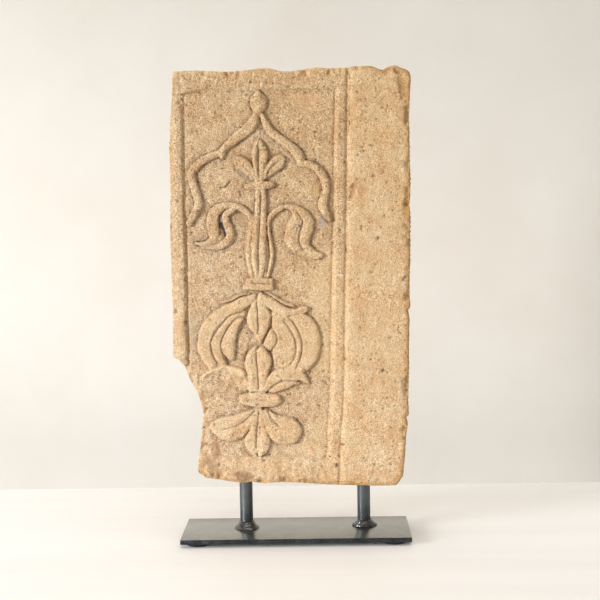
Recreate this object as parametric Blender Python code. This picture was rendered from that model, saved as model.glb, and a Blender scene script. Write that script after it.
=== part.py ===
"""Carved sandstone keystone panel, held upright on a black steel stand.

The stone is a fragment of an architectural panel: a lobed arch over a lily stem, two scrolled
leaves, an onion shaped flower and a hanging lily, beside a band and a wide plain border.
Sizes are in millimetres and become metres when a mesh is made. The origin is under the middle
of the whole piece, +Z is up and the carved face looks towards -Y.
"""

import math

import bmesh
import bpy

MM = 0.001
GAP = 0.3

# Stand: flat steel plate on four pads, two round rods with a weld bead at each foot.
PLATE_WIDTH = 220.0
PLATE_DEPTH = 83.0
PLATE_THICK = 4.5
PLATE_BEVEL = 0.5
PAD_RADIUS = 11.0
PAD_THICK = 3.2
PAD_ROUNDING = 0.8
PAD_FROM_SIDE = 16.0
PAD_FROM_FRONT = 15.0
PAD_SIDES = 24
ROD_RADIUS = 6.35
ROD_SIDES = 24
ROD_CHAMFER = 0.8
ROD_IN_STONE = 45.0
ROD_PLACES = {"left": (-49.1, 3.7), "right": (66.3, 8.1)}
ROD_HOLE_BELOW_STONE = 28.0
WELD_SIDES = 24
WELD_OUT = {"left": 5.4, "right": 5.8}
WELD_UP = {"left": 7.0, "right": 6.0}
WELD_LUMPS = {"left": 0.15, "right": 0.7}
PLATE_UNDERSIDE = PAD_THICK + GAP
PLATE_TOP = PLATE_UNDERSIDE + PLATE_THICK

# Section of a weld bead: shares of its reach outwards, of its height and of its lumps.
WELD_SECTION = [
    (0.0, 0.0, 0.0), (0.88, 0.0, 1.0), (1.0, 0.1, 1.0), (0.62, 0.32, 1.0), (0.3, 0.6, 0.5),
    (0.1, 1.0, 0.0), (0.0, 1.0, 0.0),
]

# Stone: its own frame has X = 0 on the ornament's axis, Z = 0 at its lowest point and depth 0
# on the face of the wide border. It stands a little out of upright.
STONE_AXIS_X = -34.75
STONE_FOOT_Z = PLATE_TOP + 48.5
STONE_FRONT_Y = -27.0
STONE_THICK = 64.0
STONE_LEAN = math.radians(0.9)
BAND_DEPTH = 1.6
GROUND_DEPTH = 4.2
STEP_DRAFT = 0.8
CUTTER_OVER = 6.0
RELIEF_HIGH = 3.2
RELIEF_ROOT = 1.2

# Section of a carved strand: its rise is held back where it is narrow, its shoulders sit a
# share of the way out and a share of the rise below the crown, and its walls flare at the root.
STATION_STEP = 5.6
THIN_RISE = 0.9
RISE_PER_WIDTH = 0.42
SHOULDER_OUT = 0.66
SHOULDER_DROP = 0.22
WALL_FLARE = 0.5
LEAST_WIDTH = 1.2

# The slab's outline as (x, z), clockwise from its upper left corner.
TOP_EDGE = [
    (-79, 391.5), (-67, 392.5), (-27, 391.5), (-14, 392), (5, 395), (13.5, 394), (22, 392),
    (31, 391.5), (54, 395), (83, 395), (90, 396.5), (99, 397), (106, 396.5), (116.5, 392.5),
    (123, 396), (129, 397), (134, 394.5), (140.5, 392),
]
RIGHT_EDGE = [
    (143, 387), (141.5, 366), (141, 350), (142.5, 291), (141.5, 272), (140.5, 267), (142, 262),
    (142.5, 193), (143, 172), (141, 168), (142.5, 160), (142, 94), (141, 69), (138.5, 66),
    (140.5, 60), (139, 25), (137, 9.5), (131, 1),
]
FOOT_EDGE = [
    (123, 0), (103, 0), (86.5, 1), (54, 1.5), (37, 3.5), (4, 2.5), (-7.5, 3.5), (-14, 1.5),
    (-22, 3.5), (-40.5, 6.5), (-50.5, 7.5),
]
BROKEN_CORNER = [
    (-57.5, 12.5), (-57.5, 19), (-56, 36), (-52, 67.5), (-56.5, 85.5), (-69.5, 115.5),
    (-74, 121.5), (-80.5, 125.5), (-81.5, 130.5),
]
LEFT_EDGE = [(-80, 140), (-80.5, 160), (-82.5, 193), (-83, 225), (-82.5, 274), (-83, 323)]
OUTLINE = TOP_EDGE + RIGHT_EDGE + FOOT_EDGE + BROKEN_CORNER + LEFT_EDGE

# The step from the wide border down to the band, and the sunk panel inside the frame.
BAND_FIELD = [
    (85.5, 410), (85.5, 373), (84, 225), (82.5, 102), (81.5, 69), (80, 49), (79, 28), (79, -15),
    (-100, -15), (-100, 410),
]
PANEL_FIELD = [
    (-70.5, 371.5), (-54, 375.5), (73, 376), (70, 130), (68.5, 69), (67, 35), (65.5, 25.5),
    (42, 27), (-47, 28.5), (-100, 28.5), (-100, 112), (-69, 117), (-68.5, 130), (-70, 244),
]

# Each carved strand is a list of (x, z, width) along its middle, in the stone's frame.
ARCH = [
    [(0, 375, 1.5), (0.5, 365, 18), (1, 359, 16), (1.5, 352, 5)],
    [(0, 354, 5), (-3.5, 345.5, 8.5), (-21.5, 329.5, 9.5), (-31, 321.5, 8.5), (-34, 316, 7),
     (-33.5, 310.5, 2.5)],
    [(-32, 319, 6), (-51, 310, 8), (-60, 302.5, 8), (-63, 294, 8), (-57, 273.5, 8.5),
     (-57, 265.5, 8.5), (-66, 249.5, 6.5)],
    [(2.5, 354, 5), (6, 344.5, 8.5), (21, 328.5, 9.5), (38, 315.5, 11), (41, 309.5, 7.5)],
    [(36.5, 309.5, 6), (48, 307.5, 8), (56.5, 302.5, 8), (62, 294, 8.5), (63.5, 284.5, 8.5),
     (60, 268, 9), (67.5, 252, 4.5)],
]
TOP_LILY = [
    [(-1, 292, 4.5), (-2, 313.5, 7), (-0.5, 324, 4.5), (2, 330.5, 1.5)],
    [(3.5, 292, 4.5), (6.5, 313.5, 8.5), (4.5, 323, 6), (2.5, 330.5, 1.5)],
    [(-2.5, 293, 4.5), (-6.5, 301.5, 7.5), (-12, 308.5, 8.5), (-18, 311, 6), (-20.5, 306, 4.5),
     (-18.5, 301.5, 2.5)],
    [(5.5, 293, 4.5), (10, 301.5, 7.5), (16, 309, 8), (21.5, 312, 7), (24.5, 309.5, 4.5)],
    [(10.5, 295, 3), (14.5, 300, 5.5), (20.5, 304, 6.5), (24, 308, 4.5)],
]
STEM = [
    [(-0.5, 284, 4.5), (-1, 268, 5), (-3, 230, 6.5), (-3.5, 218, 7), (-1, 199, 4.5)],
    [(5, 284, 5.5), (5.5, 268, 6), (4, 230, 7.5), (4, 218, 7.5), (2, 199, 5)],
]
SCROLLED_LEAVES = [
    [(-6.5, 200, 3.5), (-9.5, 218, 4.5), (-6.5, 244, 4), (-6, 252.5, 4.5), (-10, 260, 6),
     (-17, 265.5, 6.5), (-25.5, 268, 5.5)],
    [(-23.5, 268, 4), (-32, 267, 7.5), (-40, 262.5, 10.5), (-43.5, 254.5, 11.5),
     (-41.5, 238, 10), (-46, 233, 7), (-53, 231, 5), (-59.5, 232, 3.5)],
    [(-21, 264.5, 4.5), (-27.5, 261.5, 7.5), (-31, 255.5, 7.5), (-26.5, 240.5, 8.5),
     (-29.5, 234, 8.5), (-37, 229, 7), (-53, 227.5, 3)],
    [(9, 200, 3.5), (13, 221.5, 4.5), (9.5, 247, 4), (11, 255.5, 5), (16, 261.5, 5.5),
     (22.5, 265.5, 5.5)],
    [(20.5, 266, 4.5), (29, 266.5, 5), (37, 264, 7.5), (44, 258, 10), (48, 250, 11),
     (44, 233.5, 10), (47, 226.5, 8.5), (53.5, 221.5, 7), (60.5, 220, 5.5)],
    [(30, 266, 4), (36, 260, 7.5), (35.5, 253.5, 11.5), (31, 237.5, 13.5), (35.5, 228.5, 11),
     (43.5, 222, 7.5), (57.5, 217.5, 4)],
]
ONION_FLOWER = [
    [(-1, 182.5, 4), (-10, 179, 8.5), (-19.5, 175, 9), (-38, 172, 4.5)],
    [(2.5, 182.5, 4), (9, 177, 9.5), (17.5, 171.5, 11), (27, 167, 9), (36.5, 166.5, 6.5),
     (42.5, 169, 7), (46, 172, 4.5)],
    [(-25, 171, 4.5), (-33.5, 166, 9.5), (-42.5, 158.5, 12.5), (-49.5, 148.5, 13),
     (-52, 138, 13), (-50.5, 127, 12.5), (-42, 112.5, 7.5)],
    [(-16.5, 164.5, 4), (-24.5, 161.5, 5), (-38.5, 145, 6.5), (-40, 137, 6.5),
     (-38.5, 128.5, 6), (-30.5, 116.5, 4)],
    [(-15, 161, 4.5), (-22, 154, 9), (-28.5, 138, 12), (-28, 130, 10.5), (-25.5, 123.5, 6.5)],
    [(31.5, 164.5, 7.5), (40, 161.5, 14), (47.5, 153, 17), (50.5, 142.5, 18), (50.5, 132, 17.5),
     (47.5, 122, 15), (38.5, 110, 5.5)],
    [(22, 163, 3), (28.5, 158, 4.5), (35, 150, 5.5), (39.5, 140.5, 6), (39.5, 130.5, 6),
     (37, 121, 5.5), (32, 113.5, 4.5)],
    [(-2.5, 178, 3.5), (-5, 169.5, 6.5), (-6, 161, 8), (-5.5, 153, 7.5), (-2, 145.5, 3)],
    [(2.5, 184, 4.5), (5, 175, 7.5), (6, 166.5, 10.5), (5.5, 157, 10), (2, 136.5, 2.5)],
    [(-1, 133.5, 2), (-5.5, 127.5, 8), (-7.5, 120, 11), (-5.5, 101.5, 9.5), (-5, 88, 8.5)],
    [(2, 133.5, 2.5), (5.5, 128, 8.5), (7, 120.5, 12), (4, 102.5, 8), (3.5, 88, 8)],
    [(4, 91, 6.5), (9.5, 99.5, 10), (16, 107, 11.5), (24, 109, 12.5), (33, 107.5, 11.5),
     (40.5, 104, 8), (48.5, 97, 1.5)],
    [(11, 90, 2.5), (17.5, 93.5, 5), (25, 96, 5.5), (40.5, 98, 1.5)],
    [(12.5, 151.5, 2.5), (12, 144.5, 7.5), (11, 138, 12), (11.5, 129.5, 3)],
]
WORN_LEAVES = [
    [(14, 164.5, 2.5), (18.5, 157, 7.5), (25.5, 138, 20), (24.5, 128.5, 20.5), (20.5, 115.5, 8.5)],
    [(-7.5, 92, 4.5), (-11.5, 100.5, 11.5), (-17.5, 106.5, 14), (-27, 110, 12),
     (-37.5, 110.5, 7.5), (-52.5, 105, 1.5)],
    [(-7.5, 145.5, 5.5), (-14.5, 137, 10.5), (-12, 128, 7.5)],
]
LOW_LILY = [
    [(-3.5, 72.5, 4), (-11, 68.5, 6.5), (-31, 61.5, 11), (-40, 57.5, 9), (-47, 54, 2)],
    [(-2, 71, 4), (-7.5, 62, 7), (-15.5, 53.5, 10.5), (-25, 49, 12), (-35, 48, 10), (-42, 51, 5)],
    [(8, 73.5, 2.5), (13, 68, 6.5), (21, 62, 11.5), (30.5, 58, 15), (37.5, 52.5, 12.5),
     (40.5, 48, 8.5)],
    [(3.5, 71.5, 4.5), (6.5, 63, 7), (12, 54, 10.5), (20, 46.5, 13.5), (29, 44, 12.5),
     (36.5, 45.5, 10.5)],
    [(-1.5, 74, 3), (-6, 51.5, 8), (-8, 43, 11.5), (-6, 35, 9), (-2, 26.5, 2.5)],
    [(1, 75, 4.5), (4.5, 51.5, 9), (5.5, 43, 11.5), (4, 35, 9), (0, 26.5, 2)],
]
COLLARS = [
    [(4, 286.5, 8.5), (-4, 286, 8.5), (-13.5, 284, 2.5)],
    [(0, 286.5, 8.5), (8, 286.5, 8.5), (17.5, 285.5, 3)],
    [(-11.5, 196.5, 5), (15, 196.5, 5)],
    [(-15, 190, 6), (1, 189.5, 7.5), (15, 189.5, 6.5)],
    [(-17, 85.5, 5.5), (3, 86.5, 8), (12.5, 85.5, 8.5), (20, 84.5, 4.5)],
    [(-16, 80.5, 5.5), (3, 78.5, 8), (11.5, 79.5, 8.5), (19.5, 82, 4.5)],
]

# How far each group of strands rises, as a share of the full relief.
RELIEF_GROUPS = [
    (ARCH, 1.0), (TOP_LILY, 1.0), (STEM, 1.0), (SCROLLED_LEAVES, 1.0), (ONION_FLOWER, 0.95),
    (WORN_LEAVES, 0.6), (LOW_LILY, 0.95), (COLLARS, 1.15),
]

# How the slab's rim goes from the face to the back: depth and distance in from the outline.
# The first rings are the worn front edge, and the rest are rough hewn.
RIM_RINGS = [
    (0.0, 2.6), (0.9, 0.9), (3.2, 0.0), (22.0, 1.0), (43.0, 1.4), (60.0, 1.0), (63.2, 2.2),
    (STONE_THICK, 4.6),
]
SMOOTH_RINGS = 3
HEWN_DEPTH = 1.0


def clear_scene():
    """Leave nothing of the start-up scene."""
    for item in list(bpy.data.objects):
        bpy.data.objects.remove(item, do_unlink=True)


def material(name, colour, roughness, metallic=0.0):
    """A plain Principled material in the piece's colour."""
    made = bpy.data.materials.new(name)
    made.use_nodes = True
    shader = made.node_tree.nodes["Principled BSDF"]
    shader.inputs["Base Color"].default_value = (*colour, 1.0)
    shader.inputs["Roughness"].default_value = roughness
    shader.inputs["Metallic"].default_value = metallic
    return made


def new_object(name, bm, finish=None, smooth_below=None):
    """Turn a bmesh in millimetres into an object in metres."""
    bmesh.ops.scale(bm, vec=(MM, MM, MM), verts=bm.verts)
    bmesh.ops.recalc_face_normals(bm, faces=bm.faces)
    mesh = bpy.data.meshes.new(name)
    bm.to_mesh(mesh)
    bm.free()
    if finish is not None:
        mesh.materials.append(finish)
    if smooth_below is not None:
        mesh.shade_smooth()
        mesh.set_sharp_from_angle(angle=math.radians(smooth_below))
    item = bpy.data.objects.new(name, mesh)
    bpy.context.scene.collection.objects.link(item)
    return item


def shape_with(target, tool, operation, crosses_itself=False):
    """Cut or join target with a hidden tool."""
    step = target.modifiers.new(f"{operation.lower()}_{tool.name}", "BOOLEAN")
    step.operation = operation
    step.object = tool
    step.solver = "EXACT"
    step.use_self = crosses_itself
    tool.hide_render = True
    tool.display_type = "WIRE"


def skin_rings(bm, rings):
    """Bridge equal rings of points in order and close both ends."""
    made = [[bm.verts.new(point) for point in ring] for ring in rings]
    count = len(made[0])
    for near, far in zip(made, made[1:]):
        for i in range(count):
            j = (i + 1) % count
            bm.faces.new((near[i], near[j], far[j], far[i]))
    bm.faces.new(made[0])
    bm.faces.new(reversed(made[-1]))


def inset_outline(points, distances):
    """Move each point of a clockwise outline inwards by its own distance."""
    moved = []
    count = len(points)
    for i, (x, z) in enumerate(points):
        ax, az = points[i - 1]
        bx, bz = points[(i + 1) % count]
        first = math.atan2(z - az, x - ax)
        second = math.atan2(bz - z, bx - x)
        turn = (second - first + math.pi) % (2 * math.pi) - math.pi
        middle = first + turn / 2
        reach = distances[i] / max(math.cos(turn / 2), 0.5)
        moved.append((x + reach * math.sin(middle), z - reach * math.cos(middle)))
    return moved


def smooth_path(points, step):
    """Read a Catmull-Rom curve through the points about every step millimetres."""
    before = [2 * a - b for a, b in zip(points[0], points[1])]
    after = [2 * a - b for a, b in zip(points[-1], points[-2])]
    held = [before, *points, after]
    path = []
    for p0, p1, p2, p3 in zip(held, held[1:], held[2:], held[3:]):
        count = max(1, round(math.dist(p1[:2], p2[:2]) / step))
        for k in range(count):
            t = k / count
            path.append([
                0.5 * (2 * b + (c - a) * t + (2 * a - 5 * b + 4 * c - d) * t * t
                       + (3 * b - a - 3 * c + d) * t ** 3)
                for a, b, c, d in zip(p0, p1, p2, p3)
            ])
    path.append(list(points[-1]))
    return path


def strand_section(width, high):
    """Section of a strand as (across, depth), root to root over its crown."""
    half = width / 2
    root = GROUND_DEPTH + RELIEF_ROOT
    rise = min(high, THIN_RISE + RISE_PER_WIDTH * width)
    crown = GROUND_DEPTH - rise
    shoulder = crown + SHOULDER_DROP * rise
    return [
        (-half - WALL_FLARE, root), (-SHOULDER_OUT * half, shoulder), (0.0, crown),
        (SHOULDER_OUT * half, shoulder), (half + WALL_FLARE, root),
    ]


def add_strand(bm, points, high):
    """Sweep the strand's section along its path, as one closed body."""
    path = smooth_path(points, STATION_STEP)
    rings = []
    for i, (x, z, width) in enumerate(path):
        ahead = path[min(i + 1, len(path) - 1)]
        behind = path[max(i - 1, 0)]
        along = math.atan2(ahead[1] - behind[1], ahead[0] - behind[0])
        side_x = -math.sin(along)
        side_z = math.cos(along)
        section = strand_section(max(width, LEAST_WIDTH), high)
        rings.append([(x + side_x * a, depth, z + side_z * a) for a, depth in section])
    skin_rings(bm, rings)


def carving():
    """All strands of the ornament, each reaching down into the panel's ground."""
    bm = bmesh.new()
    for strands, share in RELIEF_GROUPS:
        for points in strands:
            add_strand(bm, points, RELIEF_HIGH * share)
    return new_object("carving", bm)


def sunk_field(name, outline, depth):
    """A cutter for a sunk field whose walls slope in towards its floor."""
    bm = bmesh.new()
    over = [-STEP_DRAFT * CUTTER_OVER / depth] * len(outline)
    floor = [STEP_DRAFT] * len(outline)
    rings = []
    for inset, y in ((over, -CUTTER_OVER), (floor, depth)):
        rings.append([(x, y, z) for x, z in inset_outline(outline, inset)])
    skin_rings(bm, rings)
    return new_object(name, bm)


def hewn_inset(row, place):
    """How far the mason's tool bit into the rim at one point of one ring."""
    if row < SMOOTH_RINGS:
        return 0.0
    wave = math.sin(2.3 * place + 1.7 * row) * math.cos(0.9 * place - row)
    return HEWN_DEPTH * (1 + wave) / 2


def slab():
    """The block with its rounded, hewn rim, before any carving."""
    bm = bmesh.new()
    rings = []
    for row, (depth, inset) in enumerate(RIM_RINGS):
        distances = [inset + hewn_inset(row, place) for place in range(len(OUTLINE))]
        rings.append([(x, depth, z) for x, z in inset_outline(OUTLINE, distances)])
    skin_rings(bm, rings)
    return bm


def rod_hole(side):
    """A blind hole for one rod, straight up in the world."""
    x, y = ROD_PLACES[side]
    bm = bmesh.new()
    rings = []
    for z in (STONE_FOOT_Z - ROD_HOLE_BELOW_STONE, STONE_FOOT_Z + ROD_IN_STONE + GAP):
        rings.append(circle(x, y, z, ROD_RADIUS + GAP, ROD_SIDES))
    skin_rings(bm, rings)
    return new_object(f"hole_{side}", bm)


def keystone_panel(finish):
    """The carved stone in its place on the rods."""
    stone = new_object("keystone_panel", slab(), finish)
    band_field = sunk_field("band_field", BAND_FIELD, BAND_DEPTH)
    panel_field = sunk_field("panel_field", PANEL_FIELD, GROUND_DEPTH)
    relief = carving()
    for tool in (band_field, panel_field, relief):
        tool.parent = stone
    shape_with(stone, band_field, "DIFFERENCE")
    shape_with(stone, panel_field, "DIFFERENCE")
    shape_with(stone, relief, "UNION", crosses_itself=True)
    for side in ROD_PLACES:
        shape_with(stone, rod_hole(side), "DIFFERENCE")
    stone.location = (STONE_AXIS_X * MM, STONE_FRONT_Y * MM, STONE_FOOT_Z * MM)
    stone.rotation_euler = (0.0, STONE_LEAN, 0.0)
    return stone


def circle(x, y, z, radius, sides, lumps=0.0):
    """Points of a level ring, with an optional uneven edge."""
    ring = []
    for i in range(sides):
        angle = 2 * math.pi * i / sides
        reach = radius + lumps * (math.sin(3 * angle + 0.6) + math.sin(7 * angle + 2.0)) / 2
        ring.append((x + reach * math.cos(angle), y + reach * math.sin(angle), z))
    return ring


def turned(name, x, y, profile, sides, finish):
    """A round piece from (radius, height) pairs, bottom to top, closed at both ends."""
    bm = bmesh.new()
    skin_rings(bm, [circle(x, y, z, radius, sides) for radius, z in profile])
    return new_object(name, bm, finish, smooth_below=40)


def rod(side, finish):
    """A round rod from just over the plate up into the stone."""
    x, y = ROD_PLACES[side]
    low = PLATE_TOP + GAP
    high = STONE_FOOT_Z + ROD_IN_STONE
    narrow = ROD_RADIUS - ROD_CHAMFER
    profile = [
        (narrow, low), (ROD_RADIUS, low + ROD_CHAMFER),
        (ROD_RADIUS, high - ROD_CHAMFER), (narrow, high),
    ]
    return turned(f"rod_{side}", x, y, profile, ROD_SIDES, finish)


def weld(side, finish):
    """A fillet bead between the rod and the plate, as a ring round the rod."""
    x, y = ROD_PLACES[side]
    bm = bmesh.new()
    rows = []
    for out, up, uneven in WELD_SECTION:
        radius = ROD_RADIUS + GAP + out * WELD_OUT[side]
        height = PLATE_TOP + GAP + up * WELD_UP[side]
        ring = circle(x, y, height, radius, WELD_SIDES, uneven * WELD_LUMPS[side])
        rows.append([bm.verts.new(point) for point in ring])
    for here, there in zip(rows, rows[1:] + rows[:1]):
        for i in range(WELD_SIDES):
            j = (i + 1) % WELD_SIDES
            bm.faces.new((here[i], here[j], there[j], there[i]))
    return new_object(f"weld_{side}", bm, finish, smooth_below=50)


def base_plate(finish):
    """The flat plate with a small bevel all round."""
    bm = bmesh.new()
    bmesh.ops.create_cube(bm, size=1.0)
    bmesh.ops.scale(bm, vec=(PLATE_WIDTH, PLATE_DEPTH, PLATE_THICK), verts=bm.verts)
    bmesh.ops.translate(bm, vec=(0, 0, PLATE_UNDERSIDE + PLATE_THICK / 2), verts=bm.verts)
    plate = new_object("base_plate", bm, finish)
    edge = plate.modifiers.new("edge", "BEVEL")
    edge.width = PLATE_BEVEL * MM
    edge.segments = 2
    return plate


def foot_pads(finish):
    """Four round pads, one under each corner of the plate."""
    across = PLATE_WIDTH / 2 - PAD_FROM_SIDE
    along = PLATE_DEPTH / 2 - PAD_FROM_FRONT
    profile = [
        (PAD_RADIUS - PAD_ROUNDING, 0.0), (PAD_RADIUS, PAD_ROUNDING), (PAD_RADIUS, PAD_THICK),
    ]
    for end, y in (("front", -along), ("back", along)):
        for side, x in (("left", -across), ("right", across)):
            turned(f"foot_pad_{end}_{side}", x, y, profile, PAD_SIDES, finish)


def build():
    """Make every piece in its place."""
    clear_scene()
    sandstone = material("sandstone", (0.62, 0.42, 0.24), 0.9)
    steel = material("black painted steel", (0.035, 0.037, 0.04), 0.42, 0.3)
    rubber = material("rubber", (0.02, 0.02, 0.02), 0.8)
    keystone_panel(sandstone)
    base_plate(steel)
    for side in ROD_PLACES:
        rod(side, steel)
        weld(side, steel)
    foot_pads(rubber)


build()
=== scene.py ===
"""Looks of the carved sandstone panel on its black steel stand.

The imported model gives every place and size. The stone is a finely remeshed copy of its solid,
carved again with round strands, worn edges, pits and chips. Lengths named below are in
millimetres unless a comment says otherwise.
"""

import math
from functools import partial

import bmesh
import bpy
import numpy as np
from mathutils import Matrix, Vector, kdtree


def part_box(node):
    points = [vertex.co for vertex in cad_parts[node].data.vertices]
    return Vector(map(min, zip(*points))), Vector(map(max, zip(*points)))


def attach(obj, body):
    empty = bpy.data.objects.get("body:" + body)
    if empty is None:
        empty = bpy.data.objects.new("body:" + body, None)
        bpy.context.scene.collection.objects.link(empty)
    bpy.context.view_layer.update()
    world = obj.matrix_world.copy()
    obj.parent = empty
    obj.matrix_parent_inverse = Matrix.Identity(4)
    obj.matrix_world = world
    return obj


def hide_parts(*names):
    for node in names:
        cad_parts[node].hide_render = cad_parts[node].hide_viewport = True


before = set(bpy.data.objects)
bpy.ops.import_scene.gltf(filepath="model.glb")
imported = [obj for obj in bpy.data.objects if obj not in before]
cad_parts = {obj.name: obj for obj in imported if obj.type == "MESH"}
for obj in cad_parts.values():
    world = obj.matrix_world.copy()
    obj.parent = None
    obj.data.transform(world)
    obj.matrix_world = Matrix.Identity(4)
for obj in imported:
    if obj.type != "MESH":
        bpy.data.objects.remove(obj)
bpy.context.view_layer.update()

MM = 0.001
MERGED = 0.01 * MM

# The photograph's camera, found from the plate's corners and the rods.
CAMERA_PLACE = (27.7, -1205.8, 322.1)
CAMERA_PITCH = math.radians(4.275)
CAMERA_ROLL = math.radians(-0.965)
CAMERA_YAW = math.radians(0.983)
CAMERA_LENS = 75.0
CAMERA_SENSOR = 36.0

# The stone's own frame, whose origin is at STONE_PLACE: X = 0 on the ornament's axis, Z = 0 at
# the stone's foot, and depth 0 on its face. It leans to the side.
STONE_PLACE = (-34.75, -27.0, 56.5)
STONE_THICK = 64.0
STONE_LEAN = math.radians(0.9)

# How deep the band and the ground lie, and how high the full relief stands over the ground.
BAND_DEPTH = 1.6
GROUND_DEPTH = 4.2
RELIEF_HIGH = 3.4

# Each carved strand is a list of (x, z, width) along its middle, as on the solid.
ARCH = [
    [(0.4, 376, 1.5), (0.6, 370, 9), (0.9, 364, 17), (0.9, 359.5, 13), (0.6, 354, 6)],
    [(-0.5, 355, 5), (-4, 345.5, 10), (-11.5, 337.5, 11), (-21.5, 329.5, 9.5), (-31, 322, 7.5),
     (-34, 316, 7), (-33.5, 310.5, 2.5)],
    [(-32, 319, 6), (-51, 310, 8), (-60, 302.5, 8), (-63, 294, 8), (-57, 273.5, 8.5),
     (-57, 265.5, 8.5), (-66, 249.5, 6.5)],
    [(2.5, 355, 4), (6.8, 344.5, 7), (11.5, 337.2, 8), (20.8, 329.8, 8.5), (30, 323.5, 8.5),
     (36.5, 317, 10), (40.5, 309.5, 9)],
    [(38, 306.5, 6), (48, 306, 8), (56, 301.8, 8), (62, 293.5, 8.5), (64, 284, 8),
     (63, 275, 8), (61, 267, 9.5), (67.5, 253, 5)],
]
TOP_LILY = [
    [(-1.3, 288, 4.5), (-2.4, 314.5, 6.8), (-1.2, 324, 4.5), (1, 330.5, 1.5)],
    [(3.2, 288, 4.5), (5.6, 314.5, 8.4), (3.8, 323, 6), (1.6, 330.5, 1.5)],
    [(-2.5, 293, 4.5), (-7.4, 301.9, 7), (-12.8, 307.8, 8.8), (-18, 310.2, 8.8),
     (-21, 309.8, 6.5)],
    [(-21.5, 307.5, 2.5), (-19.5, 304, 3.6), (-14, 301.2, 3.6), (-8.4, 296.2, 3.4),
     (-4.8, 292, 2.5)],
    [(5.5, 293, 4.5), (10, 301.5, 7.5), (16, 309, 8), (21.5, 312, 7), (24.5, 309.5, 4.5)],
    [(10.5, 295, 3), (14.5, 300, 5.5), (20.5, 304, 6.5), (24, 308, 4.5)],
]
STEM = [
    [(-0.5, 284, 4.5), (-1, 268, 5), (-3, 230, 6.5), (-3.5, 218, 7), (-1, 199, 4.5)],
    [(5, 284, 5.5), (5.5, 268, 6), (4, 230, 7.5), (4, 218, 7.5), (2, 199, 5)],
]
SCROLLED_LEAVES = [
    [(-6.5, 200, 3.5), (-9.5, 218, 4.5), (-6.5, 244, 4), (-6, 252.5, 4.5), (-10, 260, 6),
     (-17, 265.5, 6.5), (-25.5, 268, 5.5)],
    [(-23.5, 268, 4), (-32, 267, 7.5), (-40, 262.5, 10.5), (-43.5, 254.5, 11.5),
     (-41.5, 238, 10), (-46, 233, 7), (-53, 231, 5), (-59.5, 232, 3.5)],
    [(-21, 264.5, 4.5), (-27.5, 261.5, 7.5), (-31, 255.5, 7.5), (-26.5, 240.5, 8.5),
     (-29.5, 234, 8.5), (-37, 229, 7), (-53, 227.5, 3)],
    [(9, 200, 3.5), (13, 221.5, 4.5), (9.5, 247, 4), (11, 255.5, 5), (16, 261.5, 5.5),
     (22.5, 265.5, 5.5)],
    [(20.5, 266, 4.5), (29, 266.5, 5), (37, 264, 7.5), (44, 258, 10), (48, 250, 11),
     (44, 233.5, 10), (47, 226.5, 8.5), (53.5, 221.5, 7), (60.5, 220, 5.5)],
    [(30, 266, 4), (36, 260, 7.5), (35.5, 253.5, 11.5), (31, 237.5, 13.5), (35.5, 228.5, 11),
     (43.5, 222, 7.5), (57.5, 217.5, 4)],
]
ONION_FLOWER = [
    [(-2, 183, 3), (-8, 178, 9.5), (-16, 174, 13), (-25, 170, 12), (-34, 167.5, 9)],
    [(2.5, 182.5, 4), (9, 177, 9.5), (17.5, 171, 11), (27, 166.5, 9), (36.5, 166.5, 6.5),
     (42.5, 168.5, 8), (45, 170, 6)],
    [(-25, 171, 4.5), (-33.5, 166, 9.5), (-42.5, 158.5, 12.5), (-49.5, 148.5, 13),
     (-52, 138, 13), (-50.5, 127, 12.5), (-43, 113, 8.5)],
    [(-16.5, 165, 4), (-24.5, 161.3, 5), (-32, 153.5, 6.5), (-38.5, 143.5, 7.5),
     (-40.5, 136, 8.5), (-39.5, 128.5, 8), (-37, 121.5, 7.5), (-32, 115.5, 5)],
    [(-15, 161, 4.5), (-22, 154, 9), (-28, 139, 13.5), (-28.3, 131, 12.5), (-25.5, 122.5, 7)],
    [(33, 163.5, 6), (42, 158, 15), (47.5, 150, 18.3), (49.8, 141.5, 18.5), (50.3, 133.8, 17.5),
     (49, 126, 17), (45.5, 118, 14.5), (40, 110.5, 7)],
    [(25, 160.5, 4), (32, 152.5, 5.5), (37.2, 142.5, 6), (38.8, 132, 6), (36.7, 121.3, 6),
     (31.5, 112.5, 5)],
    [(-2.5, 180, 3), (-4.5, 172, 6.5), (-6.3, 162, 10), (-5.8, 154, 9), (-3, 147, 4)],
    [(2, 184, 4.5), (3.5, 175, 9), (5.3, 165, 13), (5, 155, 12), (3.5, 146, 8), (1.5, 137, 2.5)],
    [(-2, 134, 2), (-5.5, 128, 7.5), (-7.5, 121, 10.5), (-7.5, 114, 11), (-6, 104, 9.5),
     (-5, 88, 9)],
    [(2, 133.5, 2.5), (4, 128, 9.5), (5.5, 121, 14), (5.5, 116, 13.5), (4, 107, 11),
     (3.5, 98, 8.5), (3.5, 88, 8)],
    [(5, 92, 7), (10.5, 98, 10.5), (17, 105, 12.5), (25, 107.5, 13.5), (33, 107.5, 13),
     (40.5, 105, 9.5), (48.5, 97.5, 2)],
    [(10, 89.5, 3), (16.5, 92.8, 7), (24, 96, 8), (32, 98.3, 5), (39.5, 98.2, 2)],
    [(12, 150.5, 2), (12, 145, 8), (11, 139, 11.5), (10, 134, 10), (10.5, 130.5, 4)],
]
THIN_LIPS = [
    [(-8.5, 184, 2.6), (-17.2, 182.4, 3), (-26, 177.8, 3), (-35.5, 175.2, 2.4)],
    [(10.5, 183.5, 3), (20, 177.8, 4), (27, 173.8, 4), (33.5, 172, 3.5)],
]
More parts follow.
